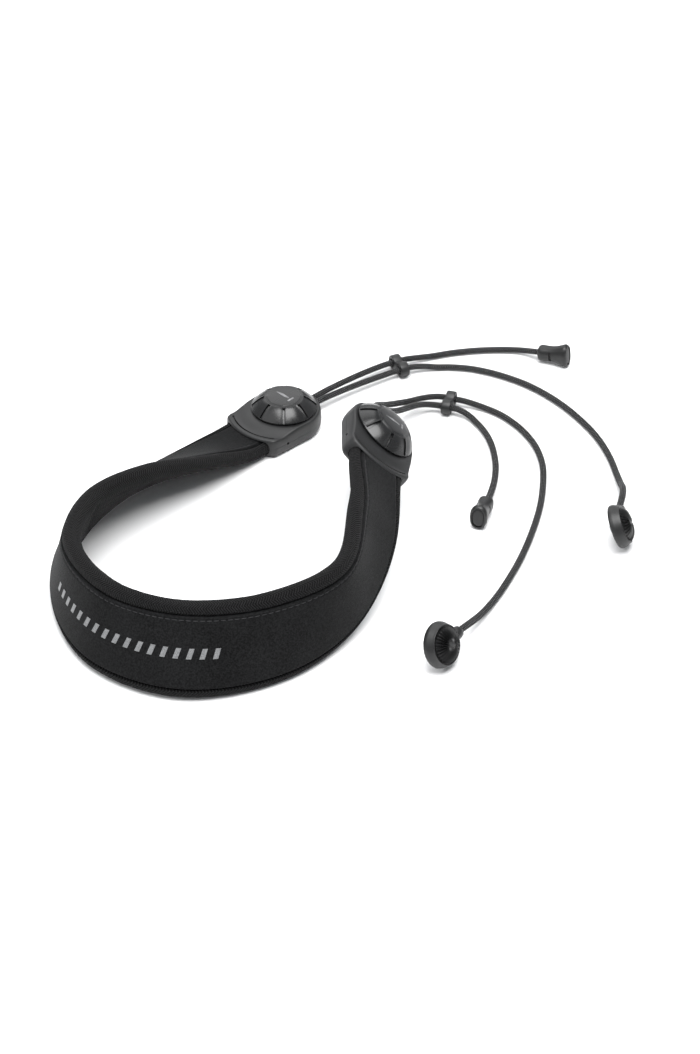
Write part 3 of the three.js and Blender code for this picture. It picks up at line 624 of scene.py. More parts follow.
# ---------------------------------------------------------------- pad
PAD_ROWS = 620
CREASE_DEPTH = 2.0
PANEL_CREASE, COVER_CREASE = 0.5, 0.62  # how far the cloth takes to dive into a seam, on each side
STITCH_INSET = 2.3
NEAR_SEAM = np.array([0, 0.22, 0.45, 0.75, 1.1, 1.5, 1.9, STITCH_INSET, 2.7, 3.2, 3.9])
NEAR_CREASE = np.array([0, 0.25, 0.55, 0.95, 1.5, 2.2, 3.0])


def adjuster_frame(side):
    turn = JOINTS[f"{side}_dial_turn"]
    jaw = JOINTS[f"{side}_jaw_slide"]
    return local_frame(turn["pos_m"], turn["axis"], [-v for v in jaw["axis"]])


def pad_edge(sign, middle):
    """One rounded edge's centre line, led straight into the mouths of both housings, in metres."""
    inner = -LIP_RADIUS + MOUTH_DEPTH - 0.4
    outer = -LIP_RADIUS - 4
    half = PAD_MOUTH_WIDTH / 2 - PAD_MOUTH_THICK / 2
    right, left = (adjuster_frame(side) for side in SIDES)
    entry = lambda matrix, x, y: matrix @ Vector((x, y, SPLIT))
    return [
        entry(right, -sign * half, inner), entry(right, -sign * (half + 0.4), outer), *middle,
        entry(left, sign * (half + 0.4), outer), entry(left, sign * half, inner),
    ]


def bar_section(half, thick, s):
    """Points and outward normals round a bar with round edges, at arc distance s from its front's middle."""
    flat, turn = half - thick, math.pi * thick
    s = (s + flat) % (4 * flat + 2 * turn)
    top = np.clip((s - 2 * flat) / thick, 0, math.pi)
    bottom = np.clip((s - 4 * flat - turn) / thick, 0, math.pi)
    angle = top + bottom
    centre = -flat + np.clip(s, 0, 2 * flat) - np.clip(s - 2 * flat - turn, 0, 2 * flat)
    normal = np.stack([np.sin(angle), np.cos(angle)], -1)
    points = normal * thick
    points[..., 0] += centre
    return points, normal


class Pad:
    """The pad's line, and the arc positions of its panel and cover across each row."""

    def __init__(self):
        up = catmull(pad_edge(1, UPPER_EDGE), PAD_ROWS) / MM
        low = catmull(pad_edge(-1, LOWER_EDGE), PAD_ROWS) / MM
        unit = lambda v: v / np.linalg.norm(v, axis=-1)[..., None]
        heading = unit(np.gradient(up, axis=0)) + unit(np.gradient(low, axis=0))
        self.middle = (up + low) / 2
        self.width = unit(up - low)
        self.normal = unit(np.cross(self.width, heading))
        self.along = arc_lengths(self.middle)
        t = np.linspace(0, 1, PAD_ROWS)
        full = smoothstep(np.minimum(t, 1 - t), 0.075, 0.27)
        blend = lambda mouth, middle: mouth + (middle - mouth) * full
        self.half = blend(PAD_MOUTH_WIDTH, PAD_WIDTH) / 2
        self.thick = blend(PAD_MOUTH_THICK, PAD_THICK) / 2
        self.panel_low = -self.half + PANEL_BOTTOM_MARGIN
        self.panel_high = self.half - blend(PANEL_BOTTOM_MARGIN, PANEL_TOP_MARGIN)
        self.girth = 4 * (self.half - self.thick) + 2 * math.pi * self.thick
        self.swell = {}

    def columns(self, near, inner, low, high):
        """Arc positions between two seams: close together beside them and even between."""
        share = np.linspace(0, 1, inner)[None]
        start, end = low[:, None] + near[None], high[:, None] - near[::-1][None]
        a, b = start[:, -1:] + 1, end[:, :1] - 1
        return np.concatenate([start, a + (b - a) * share, end], 1)

    def surface(self, s, lift):
        """Points in millimetres at arc positions s, raised by lift."""
        points = np.zeros((*s.shape, 3))
        for i in range(len(s)):
            section, normal = bar_section(self.half[i], self.thick[i], s[i])
            section = section + normal * lift[i][:, None]
            points[i] = self.middle[i] + section[:, :1] * self.width[i] + section[:, 1:] * self.normal[i]
        return points


def dip(distance, depth, reach):
    return -depth * np.exp(-((distance / reach) ** 2))


SWELL_PRESSURE = 4
SWELL_FRAMES = 20
SWELL_LIMIT = 1.1  # most movement that is used, where the simulation goes further
SWELL_HELD_ENDS = 5  # rows at each end that stay in the housing's mouth


def pad_swelling(pad):
    """How the foam fills the cloth between its seams: a cloth simulation on a coarse copy of the pad.

    Gives the movement in millimetres, at most SWELL_LIMIT, at even shares across the panel and the cover."""
    rows = np.searchsorted(pad.along, np.arange(0, pad.along[-1], 4.0))
    panel_share, cover_share = np.linspace(0, 1, 10), np.linspace(0, 1, 20)
    low, high = pad.panel_low[rows, None], pad.panel_high[rows, None]
    panel = low + (high - low) * panel_share[None]
    cover = high + (low + pad.girth[rows, None] - high) * cover_share[None]
    s = np.concatenate([panel, cover[:, 1:-1]], 1)
    part = Pad()
    for name in ("middle", "width", "normal", "half", "thick"):
        setattr(part, name, getattr(pad, name)[rows])
    rest = part.surface(s, np.zeros_like(s))
    obj = ring_solid("cloth", rest * MM)
    count = s.shape[1]
    held = obj.vertex_groups.new(name="held")
    seams = [i * count + j for i in range(len(rows)) for j in (0, 9)]
    ends = [*range(SWELL_HELD_ENDS * count),
            *range((len(rows) - SWELL_HELD_ENDS) * count, len(obj.data.vertices))]
    held.add(sorted(set(seams + ends)), 1.0, "REPLACE")
    cloth = obj.modifiers.new("cloth", "CLOTH")
    cloth.settings.use_pressure = True
    cloth.settings.uniform_pressure_force = SWELL_PRESSURE
    cloth.settings.effector_weights.gravity = 0
    cloth.settings.vertex_group_mass = "held"
    cloth.settings.quality = 5
    scene = bpy.context.scene
    for step in range(1, SWELL_FRAMES + 1):
        scene.frame_set(step)
    evaluated = obj.evaluated_get(bpy.context.evaluated_depsgraph_get())
    moved = np.zeros(len(evaluated.data.vertices) * 3)
    evaluated.data.vertices.foreach_get("co", moved)
    moved = moved.reshape(-1, 3)[:rest.shape[0] * count].reshape(rest.shape) / MM - rest
    bpy.data.objects.remove(obj)
    scene.frame_set(1)
    size = np.linalg.norm(moved, axis=2)[..., None]
    moved = np.nan_to_num(moved * np.minimum(1, SWELL_LIMIT / np.maximum(size, 1e-6)))
    print("pad swelling, mm: mean", size.mean().round(3), "most", size.max().round(3))
    return rows, panel_share, cover_share, moved[:, :10], np.concatenate([moved[:, 9:], moved[:, :1]], 1)


def spread(moved, rows, share, pad, s, low, high):
    """The coarse movement at every row and arc position."""
    wanted = (s - low[:, None]) / (high - low)[:, None]
    result = np.zeros((*s.shape, 3))
    for k in range(3):
        lines = np.array([np.interp(pad.along, pad.along[rows], moved[:, j, k]) for j in range(len(share))])
        for i in range(len(s)):
            result[i, :, k] = np.interp(wanted[i], share, lines[:, i])
    return result


def normals_of(grid):
    normal = np.cross(np.gradient(grid, axis=1), np.gradient(grid, axis=0))
    return normal / np.maximum(np.linalg.norm(normal, axis=2), 1e-9)[..., None]


class PanelSurface:
    """The front panel's finished surface, for pieces that lie on it."""

    def __init__(self, pad, s, grid):
        self.along, self.s, self.grid = pad.along, s, grid
        self.normals = normals_of(grid)
        if np.mean(np.sum(self.normals[:, s.shape[1] // 2] * pad.normal, 1)) < 0:
            self.normals = -self.normals

    def at(self, along, across, lift):
        """Millimetres along the pad and across it from its middle, raised by lift."""
        r = np.interp(along, self.along, np.arange(len(self.along)))
        i = min(int(r), len(self.along) - 2)
        c = np.interp(across, self.s[i], np.arange(self.s.shape[1]))
        j = min(int(c), self.s.shape[1] - 2)
        a, b = r - i, c - j
        weights = ((1 - a) * (1 - b), (1 - a) * b, a * (1 - b), a * b)
        corners = ((i, j), (i, j + 1), (i + 1, j), (i + 1, j + 1))
        point = sum(w * self.grid[k] for w, k in zip(weights, corners))
        normal = sum(w * self.normals[k] for w, k in zip(weights, corners))
        return point + normal / np.linalg.norm(normal) * lift


def build_pad(surfaces):
    pad = Pad()
    rows, panel_share, cover_share, panel_moved, cover_moved = pad_swelling(pad)

    s = pad.columns(NEAR_SEAM, 22, pad.panel_low, pad.panel_high)
    from_low, from_high = s - pad.panel_low[:, None], pad.panel_high[:, None] - s
    lift = (PANEL_PROUD + dip(from_low, CREASE_DEPTH, PANEL_CREASE)
            + dip(from_high, CREASE_DEPTH, PANEL_CREASE))
    lift += dip(from_high - STITCH_INSET, 0.3, 0.55)
    panel_grid = pad.surface(s, lift)
    panel_grid += spread(panel_moved, rows, panel_share, pad, s, pad.panel_low, pad.panel_high)
    panel = grid_piece("pad_panel", panel_grid, pad, s)
    dress(panel, "pad_jersey_panel", surfaces["jersey"], "strap", ["pad_front_panel"], 60)

    high_end = pad.panel_low + pad.girth
    around = pad.columns(NEAR_CREASE, 46, pad.panel_high, high_end)
    from_start, from_end = around - pad.panel_high[:, None], high_end[:, None] - around
    lift = dip(from_start, CREASE_DEPTH - PANEL_PROUD, COVER_CREASE)
    lift += dip(from_end, CREASE_DEPTH - PANEL_PROUD, COVER_CREASE)
    cover_grid = pad.surface(around, lift)
    cover_grid += spread(cover_moved, rows, cover_share, pad, around, pad.panel_high, high_end)
    cover = grid_piece("pad_cover_mesh", cover_grid, pad, around)
    dress(cover, "pad_air_mesh", surfaces["air_mesh"], "strap", ["pad_cover"], 60)

    on_panel = PanelSurface(pad, s, panel_grid)
    build_stitches(pad, on_panel, surfaces)
    build_bars(pad, on_panel, surfaces)


def grid_piece(name, grid, pad, s):
    rows, columns = s.shape
    faces = [face[::-1] for face in grid_faces(rows, columns, wrap=False)]
    obj = new_object(name, grid.reshape(-1, 3) * MM, faces)
    along = np.broadcast_to(pad.along[:, None], s.shape)
    corners = grid_uv(along, s, rows, columns, False).reshape(-1, 4, 2)[:, ::-1]
    set_weave(obj, corners.reshape(-1, 2))
    return obj


THREAD_RADIUS = 0.25
STITCH_LENGTH = 2.5
STITCH_PITCH = 3.5


def build_stitches(pad, on_panel, surfaces):
    """Single stitches that lie along the upper seam and dive into the cloth at both ends."""
    vertices, faces = [], []
    sides, steps = 6, 6
    start, stop = 13.0, pad.along[-1] - 13.0
    for place in np.arange(start, stop, STITCH_PITCH):
        across = np.interp(place, pad.along, pad.panel_high) - STITCH_INSET
        line = []
        for k in range(steps):
            share = k / (steps - 1)
            sink = THREAD_RADIUS * (1.1 * math.sin(math.pi * share) - 0.55)
            line.append(on_panel.at(place + STITCH_LENGTH * share, across, sink))
        _, side, up = tube_frames(np.array(line))
        first = len(vertices)
        for k in range(steps):
            for j in range(sides):
                a = 2 * math.pi * j / sides
                vertices.append(line[k] + THREAD_RADIUS * (side[k] * math.cos(a) + up[k] * math.sin(a)))
        faces += [tuple(first + v for v in face) for face in grid_faces(steps, sides)]
        faces.append(tuple(first + j for j in range(sides))[::-1])
        faces.append(tuple(first + (steps - 1) * sides + j for j in range(sides)))
    obj = new_object("stitches", np.array(vertices) * MM, faces)
    dress(obj, "pad_seam_stitches", surfaces["thread"], "strap")


BAR_COUNT = 17
BAR_WIDTH, BAR_HEIGHT, BAR_PITCH, BAR_SLANT = 2.4, 5.4, 6.2, 1.6


def build_bars(pad, on_panel, surfaces):
    """A plain row of slanted reflective bars on the pad's front."""
    front = np.nonzero((pad.middle[:, 0] < -4) & (pad.middle[:, 1] < 0))[0][0]
    begin = pad.along[front]
    film, cells = 0.14, 7
    vertices, faces = [], []
    for bar in range(BAR_COUNT):
        left = begin + bar * BAR_PITCH
        first = len(vertices)
        for i in range(cells + 2):
            u = min(max(i - 1, 0), cells - 1) / (cells - 1)
            for j in range(cells + 2):
                v = min(max(j - 1, 0), cells - 1) / (cells - 1)
                edge = i in (0, cells + 1) or j in (0, cells + 1)
                along = left + BAR_WIDTH * u - BAR_SLANT * v
                vertices.append(on_panel.at(along, -1.5 + BAR_HEIGHT * (v - 0.5), -film if edge else film))
        count = cells + 2
        faces += [tuple(first + v for v in face)[::-1] for face in grid_faces(count, count, wrap=False)]
    obj = new_object("bars", np.array(vertices) * MM, faces)
    dress(obj, "pad_reflective_bars", surfaces["film"], "strap")


# ---------------------------------------------------------------- adjuster housings
ROUND_ANGLES = 480
LIP_TOP = 11.9
SADDLE_TOP = 11.2
LIP_GROOVE_RADIUS, LIP_GROOVE_HALF = 29.5, 0.44
# How far the wall leans in at each share of the height: a pebble-like lower edge, a tighter upper one.
WALL_PROFILE = [
    (0, 3.1), (0.015, 2.3), (0.05, 1.5), (0.1, 0.95), (0.17, 0.5), (0.26, 0.2), (0.38, 0.04),
    (0.5, 0), (0.68, 0.03), (0.82, 0.14), (0.9, 0.3), (0.945, 0.5), (0.975, 0.78), (0.993, 1.08), (1, 1.4),
]
# Shares of the way from the rounded upper edge to the dial.
TOP_SHARES = [0.04, 0.08, 0.12, 0.136, 0.143, 0.15, 0.175, 0.2, 0.205, 0.212, 0.23, 0.28, 0.36, 0.44,
              0.52, 0.6,
              0.68, 0.77, 0.8, 0.86, 0.93, 1.0]
MOAT_RADIUS = DIAL_RADIUS - 0.15
HUB_HOLE = 6.4
PIN_MOUTH_RADIUS = 0.8


def outline_radius(theta, inset):
    """Distance from the dial axis to the housing's outline, moved in by inset."""
    corner_y = math.sqrt(LIP_RADIUS**2 - LIP_HALF**2)
    side = np.array([corner_y, LIP_HALF - END_RADIUS])
    side /= np.linalg.norm(side)
    offset = side[0] * END_RADIUS - inset
    towards = side[0] * np.abs(np.cos(theta)) + side[1] * np.sin(theta)
    wall = np.minimum(offset / np.maximum(towards, 1e-3), 80)
    lip = np.full_like(theta, LIP_RADIUS - inset)
    blend = 2.4
    h = np.clip(0.5 + 0.5 * (lip - wall) / blend, 0, 1)
    corner = lip + (wall - lip) * h - blend * h * (1 - h)
    return np.where(np.sin(theta) >= 0, END_RADIUS - inset, corner)


def top_height(x, y):
    """The housing's upper surface: level round the dial, a saddle, then the lip bar behind its groove."""
    reach = np.hypot(x, y)
    down = smoothstep(reach, DIAL_RADIUS + 1.2, 29) * smoothstep(-y, 0, 14)
    height = HOUSING_HEIGHT - (HOUSING_HEIGHT - SADDLE_TOP) * down
    lip = smoothstep(reach, 27, LIP_RADIUS - 1) * smoothstep(-y, 10, 20)
    height += (LIP_TOP - SADDLE_TOP) * lip
    groove = (np.abs(reach - LIP_GROOVE_RADIUS) < LIP_GROOVE_HALF) & (np.abs(x) < 16.6) & (y < 0)
    notch = (reach > DIAL_RADIUS - 0.1) & (reach < END_RADIUS - 1.2) & (np.abs(x) < 5.6) & (y > 0)
    return height - 0.8 * groove - 2.2 * notch


def housing_solid():
    theta = (np.arange(ROUND_ANGLES) + 0.5) * 2 * math.pi / ROUND_ANGLES
    cosine, sine = np.cos(theta), np.sin(theta)

    def ring(radius, height):
        return np.stack([radius * cosine, radius * sine, np.broadcast_to(height, theta.shape)], 1)

    base = outline_radius(theta, WALL_PROFILE[0][1])
    rings = [ring(base * share, 0) for share in (0.1, 0.35, 0.6, 0.8, 0.93)]
    for share, inset in WALL_PROFILE:
        radius = outline_radius(theta, inset)
        rings.append(ring(radius, share * top_height(radius * cosine, radius * sine)))
    edge = outline_radius(theta, WALL_PROFILE[-1][1])
    for share in TOP_SHARES:
        radius = edge + (MOAT_RADIUS - edge) * share
        rings.append(ring(radius, top_height(radius * cosine, radius * sine)))
    moat = HOUSING_HEIGHT - 0.9
    rings += [ring(MOAT_RADIUS - 0.05, moat), ring(12, moat), ring(2, moat)]
    return ring_solid("housing", rings)


def bay_cutter():
    theta = (np.arange(120) + 0.5) * 2 * math.pi / 120
    radius = outline_radius(theta, WALL + 0.2)
    front = np.where(np.sin(theta) < -0.1, BAY_FRONT / np.minimum(np.sin(theta), -0.1), 99)
    radius = np.minimum(radius, front)
    rings = [
        np.stack([radius * np.cos(theta), radius * np.sin(theta), np.full(120, z)], 1) for z in (FLOOR, ROOF)
    ]
    return ring_solid("cutter", rings)


def upright_cutter(radius, z0, z1, centre=(0, 0)):
    return ring_solid("cutter", [circle(radius, z, 32, centre) for z in (z0, z1)])


def build_housing(side, surfaces):
    matrix = adjuster_frame(side)
    body = housing_solid()
    mouth_back = -LIP_RADIUS + MOUTH_DEPTH
    cutters = [
        bay_cutter(),
        stadium_bar(PAD_MOUTH_WIDTH / 2 + GAP, MOUTH_HEIGHT / 2, -LIP_RADIUS - 2, mouth_back, SPLIT, 3.6),
        box_cutter((-13.1, mouth_back - 1, SPLIT - 2), (13.1, BAY_FRONT + 1, SPLIT + 2)),
        stadium_bar(PORT_X + PORT_RADIUS, PORT_RADIUS, 12, END_RADIUS + 4, SPLIT),
        upright_cutter(HUB_HOLE, ROOF - 1, HOUSING_HEIGHT + 1),
    ]
    for radius, reach in ((ANCHOR_RADIUS + GAP, 18.2), (PIN_MOUTH_RADIUS, 25)):
        anchor = upright_cutter(radius, -reach, reach)
        turned_to(anchor, Matrix.Translation((0, ANCHOR_Y, SPLIT)) @ Matrix.Rotation(math.pi / 2, 4, "Y"))
        cutters.append(anchor)
    for x in (-SCREW_X, SCREW_X):
        cutters += [upright_cutter(1.45, -1, 10.6, (x, SCREW_Y)), upright_cutter(2.1, -1, 1.8, (x, SCREW_Y))]
    carve(body, cutters)
    far, seam = 60, 0.06
    upper = body.copy()
    upper.data = body.data.copy()
    bpy.context.scene.collection.objects.link(upper)
    carve(body, [box_cutter((-far, -far, -1), (far, far, SPLIT - seam))], "INTERSECT")
    carve(upper, [box_cutter((-far, -far, SPLIT + seam), (far, far, far))], "INTERSECT")
    for piece, part in ((body, "base"), (upper, "cover")):
        turned_to(piece, matrix)
        name = f"{side}_housing_shell_{part}"
        dress(piece, name, surfaces["housing"], "strap", [f"{side}_housing_{part}"])


# ---------------------------------------------------------------- dials
GROOVE_HALF = 0.88
GROOVE_DEPTH = 1.6
PILLOW = 0.55  # how far each panel between two grooves bulges


def octagon_radius(theta, radius):
    """A slightly rounded octagon with a corner at every groove."""
    sector = 2 * math.pi / DIAL_GROOVES
    within = (theta % sector) - sector / 2
    flat = radius * math.cos(sector / 2) / np.cos(within)
    return 0.5 * flat + 0.5 * radius


def dial_ring(share, height):
    """One ring of the dial, from its outer edge at share 0 to the octagon at share 1.

    Grooves keep their width, so their columns close up towards the outside."""
    sector = 2 * math.pi / DIAL_GROOVES
    reach = DIAL_RADIUS + (DIAL_TOP_RADIUS - DIAL_RADIUS) * share
    near = np.array([0.0, 0.45, 0.9, 1.05, 1.7]) * GROOVE_HALF
    in_groove = 0.035 < share < 0.93
    points = []
    for i in range(DIAL_GROOVES):
        close = np.arcsin(near / reach)
        between = np.linspace(close[-1], sector - close[-1], 12)[1:-1]
        local = np.concatenate([close, between, (sector - close[1:])[::-1]])
        theta = i * sector + local
        radius = DIAL_RADIUS + (octagon_radius(theta, DIAL_TOP_RADIUS) - DIAL_RADIUS) * share
        offset = np.abs(np.sin(np.minimum(local, sector - local))) * reach
        drop = GROOVE_DEPTH * (offset < GROOVE_HALF * 0.95) if in_groove else 0 * offset
        pillow = PILLOW * np.sin(math.pi * local / sector) ** 0.7 * math.sin(math.pi * min(share, 1)) ** 0.8
        rim = 0.28 * np.exp(-(((offset - 1.25 * GROOVE_HALF) / 0.3) ** 2)) * (0.02 < share < 0.95)
        points.append(np.stack([
            radius * np.cos(theta), radius * np.sin(theta), height - drop + rim + pillow,
        ], 1))
    return np.concatenate(points)


def build_dial(side, surfaces):
    matrix = adjuster_frame(side)
    bottom = HOUSING_HEIGHT + GAP
    top = bottom + DIAL_HEIGHT
    sides = len(dial_ring(0, 0))
    theta = np.arctan2(*dial_ring(0, 0)[:, 1::-1].T)
    flat = lambda radius, z: np.stack([radius * np.cos(theta), radius * np.sin(theta), np.full(sides, z)], 1)
    rings = [flat(2, ROOF - 0.1), flat(6, ROOF - 0.1), flat(6, bottom), flat(DIAL_RADIUS - 0.35, bottom)]
    rings += [flat(DIAL_RADIUS - 0.05, bottom + 0.25), flat(DIAL_RADIUS, bottom + 0.7)]
    rise = DIAL_HEIGHT - 1.4
    for share in (0, 0.03, 0.04, 0.1, 0.2, 0.32, 0.44, 0.56, 0.68, 0.8, 0.9, 0.925, 0.935, 0.97, 1.0):
        curve = 1 - (1 - share) ** 1.3
        rings.append(dial_ring(share, bottom + 1.0 + rise * curve))
    crown = dial_ring(1.0, top - 0.35)
    for scale, z in ((0.985, -0.22), (0.96, -0.15), (0.93, -0.15)):
        ring = crown.copy() * (scale, scale, 1)
        ring[:, 2] = top + z
        rings.append(ring)
    rings += [flat(9.4, top - 0.5), flat(3, top - 0.9)]
    body = f"{side}_dial_body"
    obj = turned_to(ring_solid("dial", rings), matrix)
    dress(obj, f"{side}_dial_grip", surfaces["dial"], body, [f"{side}_dial"], 28)

    edge = crown * (0.925, 0.925, 1)
    cap_rings = []
    for scale, z in ((0.5, -0.45), (1, -0.45), (1, -0.05), (0.985, 0.08), (0.95, 0.16), (0.8, 0.3),
                     (0.55, 0.42),
                     (0.25, 0.5)):
        ring = edge * (scale, scale, 1)
        ring[:, 2] = top + z
        cap_rings.append(ring)
    cap = turned_to(ring_solid("cap", cap_rings), matrix)
    dress(cap, f"{side}_dial_crown", surfaces["dial"], body, [f"{side}_dial_cap"], 28)
    build_mark(side, matrix, top + 0.44, body, surfaces)


def build_mark(side, matrix, height, body, surfaces):
    """A plain raised mark on the crown: a long lozenge and a short bar across its head."""
    lozenge = [(-6.2, 0), (-1.5, 0.95), (3.2, 0.55), (4.2, 0), (3.2, -0.55), (-1.5, -0.95)]
    cross = [(5.0, -2.3), (6.1, -2.3), (6.1, 2.3), (5.0, 2.3)]
    for label, shape in (("needle", lozenge), ("bar", cross)):
        outline = np.array(fillet(shape, 0.4, closed=True, steps=3))
        middle = outline.mean(0)
        rings = []
        for scale, lift in ((1, -0.35), (1, 0.12), (0.82, 0.22)):
            flat = middle + (outline - middle) * scale
            sag = 0.0045 * (flat**2).sum(1)
            rings.append(np.column_stack([flat, height + lift - sag]))
        obj = turned_to(ring_solid("mark", rings), matrix)
        dress(obj, f"{side}_dial_mark_{label}", surfaces["mark"], body)


# ---------------------------------------------------------------- sliders
WAIST_RADIUS = 2.5


def figure_eight(inset):
    """The slider's outline: two round ends and a hollow waist on each side, as [y, z] points."""
    half = SLIDER_PITCH / 2
    round_end, waist = SLIDER_RADIUS - inset, WAIST_RADIUS + inset
    rise = math.sqrt((SLIDER_RADIUS + WAIST_RADIUS) ** 2 - half**2)
    turn = math.atan2(rise, half)
    arcs = [
        (-half, 0, round_end, turn, 2 * math.pi - turn, 26),
        (0, -rise, waist, math.pi - turn, turn, 10),
        (half, 0, round_end, turn - math.pi, math.pi - turn, 26),
        (0, rise, waist, -turn, turn - math.pi, 10),
    ]
    points = []
    for y, z, radius, start, end, steps in arcs:
        for angle in np.linspace(start, end, steps, endpoint=False):
            points.append((y + radius * math.cos(angle), z + radius * math.sin(angle)))
    return np.array(points)


def build_slider(side, surfaces):
    low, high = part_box(f"{side}_slider")
    axis = Vector(JOINTS[f"{side}_slider_slide"]["axis"]).normalized()
    matrix = Matrix((axis, Vector((0, 0, 1)).cross(axis), (0, 0, 1))).transposed().to_4x4()
    matrix.translation = (low + high) / 2
    half = SLIDER_LENGTH / 2
    profile = [(-half, 0.55), (-half + 0.12, 0.25), (-half + 0.4, 0.06), (-half + 0.8, 0)]
    profile += [(-x, inset) for x, inset in profile[::-1]]
    rings = []
    for x, inset in profile:
        outline = figure_eight(inset)
        rings.append(np.column_stack([np.full(len(outline), x), outline]))
    body = ring_solid("slider", rings)
    holes = []
    for y in (-SLIDER_PITCH / 2, SLIDER_PITCH / 2):
        flare = [(3.1, -half - 0.3), (2.85, -half), (2.5, -half + 0.6),
                 (2.5, half - 0.6), (2.85, half), (3.1, half + 0.3)]
        hole = lathe("cutter", flare, 40)
        turned_to(hole, Matrix.Translation((0, y, 0)) @ Matrix.Rotation(math.pi / 2, 4, "Y"))
        holes.append(hole)
    carve(body, holes)
    turned_to(body, matrix @ Matrix.Scale(MM, 4))
    return dress(body, f"{side}_cord_slider", surfaces["dark"], f"{side}_slider_body",
                 [f"{side}_slider"], 50)


# ---------------------------------------------------------------- cord end caps
# [distance, half width, half height, squareness]; squareness 1 is an ellipse.
CAP_BODY = [
    (0.0, 3.3, 3.4, 0.85), (0.25, 3.75, 3.9, 0.78), (0.8, 4.1, 4.25, 0.72), (1.8, 4.3, 4.4, 0.7),
    (3.2, 4.3, 4.42, 0.7), (5.5, 4.15, 4.35, 0.72), (8.2, 4.05, 4.5, 0.74), (11, 4.15, 5.05, 0.78),
    (13.6, 4.45, 6.0, 0.8), (15.4, 4.75, 6.75, 0.82), (16.5, 4.92, 7.1, 0.84),
]
CAP_RIM = [
    (16.8, 4.92, 7.1, 0.84), (17.2, 4.8, 6.95, 0.84), (18.1, 4.45, 6.5, 0.84), (18.35, 4.25, 6.3, 0.84),
    (18.4, 3.95, 6.0, 0.84), (18.3, 3.6, 5.6, 0.84), (17.5, 3.5, 5.5, 0.84),
]


def cap_ring(z, half_width, half_height, squareness, sides=72):
    angles = (np.arange(sides) + 0.5) * 2 * math.pi / sides
    squared = lambda v: np.sign(v) * np.abs(v) ** squareness
    return np.stack([half_width * squared(np.cos(angles)), half_height * squared(np.sin(angles)),
                     np.full(sides, z)], 1)


def build_cap(side, surfaces):
    at, along = CAPS[side]
    matrix = local_frame(at, along, (0, 0, 1))
    mouth = CORD_RADIUS + 0.12
    rings = [cap_ring(1.8, mouth, mouth, 1), cap_ring(0.2, mouth, mouth, 1),
             cap_ring(0, mouth + 0.25, mouth + 0.25, 1)]
    rings += [cap_ring(*section) for section in CAP_BODY + CAP_RIM]
    shell = ring_solid("cap", rings)
    slots = [box_cutter((s * 4.6 - 1.6, -2.7, 7.3), (s * 4.6 + 1.6, 2.7, 8.9)) for s in (-1, 1)]
    carve(shell, slots)
    turned_to(shell, matrix)
    shell = dress(shell, f"{side}_cap_shell", surfaces["dark"], "strap",
                  [f"{side}_end_cap"], 45)
    inner = [(17.2, 1.5, 3, 0.9), (17.2, 3.1, 5.1, 0.86), (17.9, 3.1, 5.1, 0.86), (18.1, 2.9, 4.85, 0.86),
             (18.2, 2.3, 4.0, 0.88), (18.25, 1.0, 2.0, 0.9)]
    plug = turned_to(ring_solid("plug", [cap_ring(*section) for section in inner]), matrix)
    plug = dress(plug, f"{side}_cap_plate", surfaces["black"], "strap",
                 [f"{side}_end_plug"], 45)
    return [shell, plug]


# ---------------------------------------------------------------- connectors
RIBS = 30
RIB_DEPTH = 1.7


def ribbed_ring(radius, height):
    """A ring of the dome, with its ribs deeper towards the rim."""
    sides = RIBS * 12
    theta = np.arange(sides) * 2 * math.pi / sides
    valley = (0.5 + 0.5 * np.cos(RIBS * theta)) ** 0.5
    depth = RIB_DEPTH * smoothstep(radius, 1.4, 5.6) * (height > DISC_HEIGHT + GAP + 0.05)
    reach = radius - 0.5 * depth * valley
    return np.stack([reach * np.cos(theta), reach * np.sin(theta), height - 0.62 * depth * valley], 1)


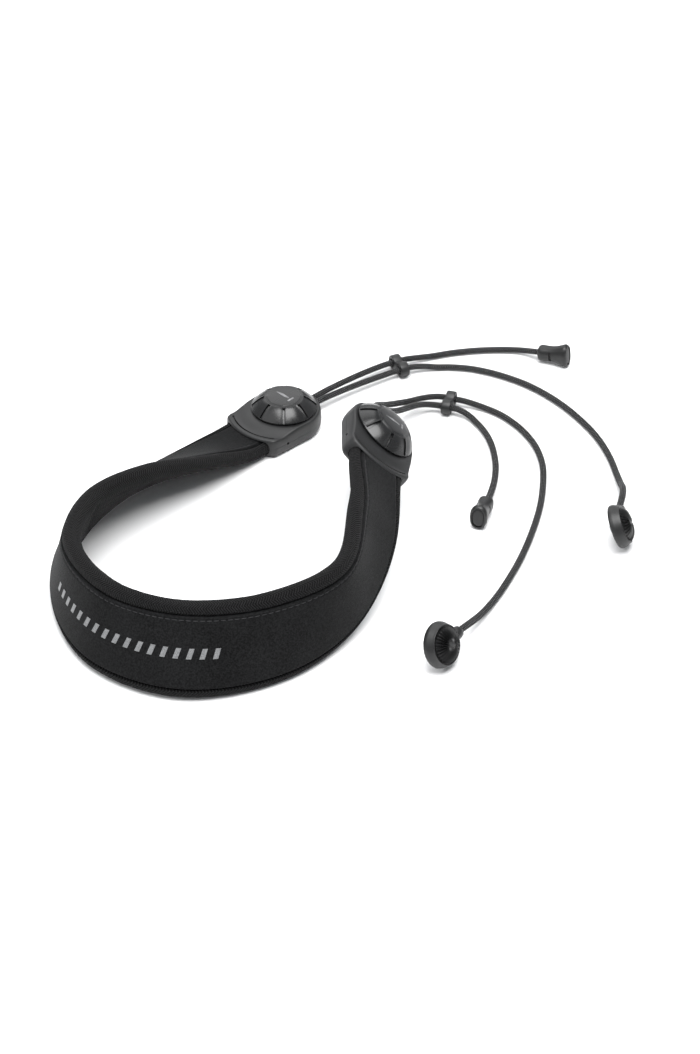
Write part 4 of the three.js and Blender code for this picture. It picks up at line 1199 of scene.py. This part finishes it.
def build_connector(side, surfaces):
    swivel = JOINTS[f"{side}_hub_swivel"]
    matrix = local_frame(swivel["pos_m"], swivel["axis"], CONNECTOR_OUT[side])
    bore = HUB_RADIUS + GAP
    profile = [(bore, 0), (11.3, 0), (12, 0.8), (11.9, 2.6), (10.62, 5.6), (10.42, 6.4),
               (9.95, 6.4), (9.75, 6.0), (bore, 6.0)]
    ring = turned_to(lathe("ring", fillet(profile, 0.5, closed=True), 96, closed=True), matrix)
    ring = dress(ring, f"{side}_connector_rim", surfaces["dark"], "strap",
                 [f"{side}_connector_ring"])
    mouth = CORD_RADIUS + 0.1
    profile = [(1.5, 8.2), (2.9, 8.2), (3.25, 10.4), (3.5, 12), (3.5, 13.3), (3.2, 14.6), (2.75, COLLAR_END),
               (mouth, COLLAR_END), (mouth, COLLAR_END - 1.6)]
    collar = lathe("collar", fillet(profile, 0.7), 48)
    turned_to(collar, Matrix.Translation((0, 0, DISC_HEIGHT / 2)) @ Matrix.Rotation(-math.pi / 2, 4, "X"))
    turned_to(collar, matrix)
    collar = dress(collar, f"{side}_connector_collar", surfaces["dark"], "strap")
    front = DISC_HEIGHT + GAP
    dome = [(HUB_RADIUS - 1, 0.5), (HUB_RADIUS, 0.6), (HUB_RADIUS, front), (9.1, front), (9.4, front + 0.25),
            (9.38, front + 0.6), (9.1, front + 1.0), (8.5, front + 1.5), (7.7, front + 2.1), (6.8,
                                                                                              front + 2.6),
            (5.8, front + 2.95), (4.8, front + 3.18), (4.0, front + 3.3), (3.3, front + 3.37),
            (2.0, front + DOME_HEIGHT)]
    hub = turned_to(ring_solid("hub", [ribbed_ring(*point) for point in dome]), matrix)
    body = f"{side}_hub_body"
    hub = dress(hub, f"{side}_connector_dome", surfaces["dark"], body,
                [f"{side}_connector_hub"], 40)
    profile = [(0.3, -2.5), (1.45, -2.5), (1.7, -2.25), (1.7, -1.5), (1.05, -1.2), (1.05, 3.4), (0.3, 3.4)]
    pin = turned_to(lathe("pin", fillet(profile, 0.18), 40), matrix)
    pin = dress(pin, f"{side}_connector_stud", surfaces["steel"], body, [f"{side}_connector_pin"])
    return [ring, collar, hub, pin]


# ---------------------------------------------------------------- the rest of the CAD nodes
INNER_NODES = {
    "case_screw": "steel", "dial_screw": "steel", "cam_plate": "steel", "cord_post": "steel",
    "anchor_pin": "steel", "clamp_jaw": "black", "held_cord": "plain_braid", "pad_foam_core": "foam",
    "pad_webbing": "webbing",
}


def dress_inner_nodes(surfaces):
    """The pieces inside the housings and the pad keep their CAD shape and get real finishes."""
    for name, obj in frame["nodes"].items():
        for key, surface in INNER_NODES.items():
            if key in name:
                obj.data.materials.clear()
                obj.data.materials.append(surfaces[surface])


def build():
    add_camera()
    surfaces = {
        "air_mesh": air_mesh_material(),
        "jersey": jersey_material(),
        "thread": cloth_material("thread", (0.016, 0.016, 0.017), (0.05, 0.05, 0.052), 0.25),
        "foam": cloth_material("foam", (0.03, 0.03, 0.032), (0.06, 0.06, 0.062), 0.8),
        "webbing": cloth_material("webbing", (0.008, 0.008, 0.009), (0.03, 0.03, 0.03), 0.6),
        "film": film_material(),
        "mark": mark_material(),
        "housing": plastic_material("housing_plastic", (0.004, 0.0041, 0.0043), (0.014, 0.0142,
                                                                                 0.0147), 0.48),
        "dial": plastic_material("dial_plastic", (0.003, 0.0031, 0.0033), (0.011, 0.0112, 0.0116), 0.27),
        "dark": plastic_material("dark_plastic", (0.0025, 0.0026, 0.0027), (0.009, 0.0091, 0.0094), 0.42),
        "black": plastic_material("black_plastic", (0.004, 0.004, 0.0043), (0.011, 0.011, 0.0115), 0.5),
        "braid": braid_material("braid"),
        "plain_braid": braid_material("plain_braid", mapped=False),
        "steel": steel_material(),
    }
    cords = {name: braided_cord(name, route) for name, route in ROUTES.items()}
    for name, (obj, _) in cords.items():
        dress(obj, f"{name}_braid", surfaces["braid"], "strap", [f"{name}_cord"], 80)
    for side in SIDES:
        ends = {"lead": build_connector(side, surfaces), "tail": build_cap(side, surfaces)}
        slider = build_slider(side, surfaces)
        for kind, pieces in ends.items():
            obj, line = cords[f"{side}_{kind}"]
        build_housing(side, surfaces)
        build_dial(side, surfaces)
    build_pad(surfaces)
    dress_inner_nodes(surfaces)
    add_studio()


build()
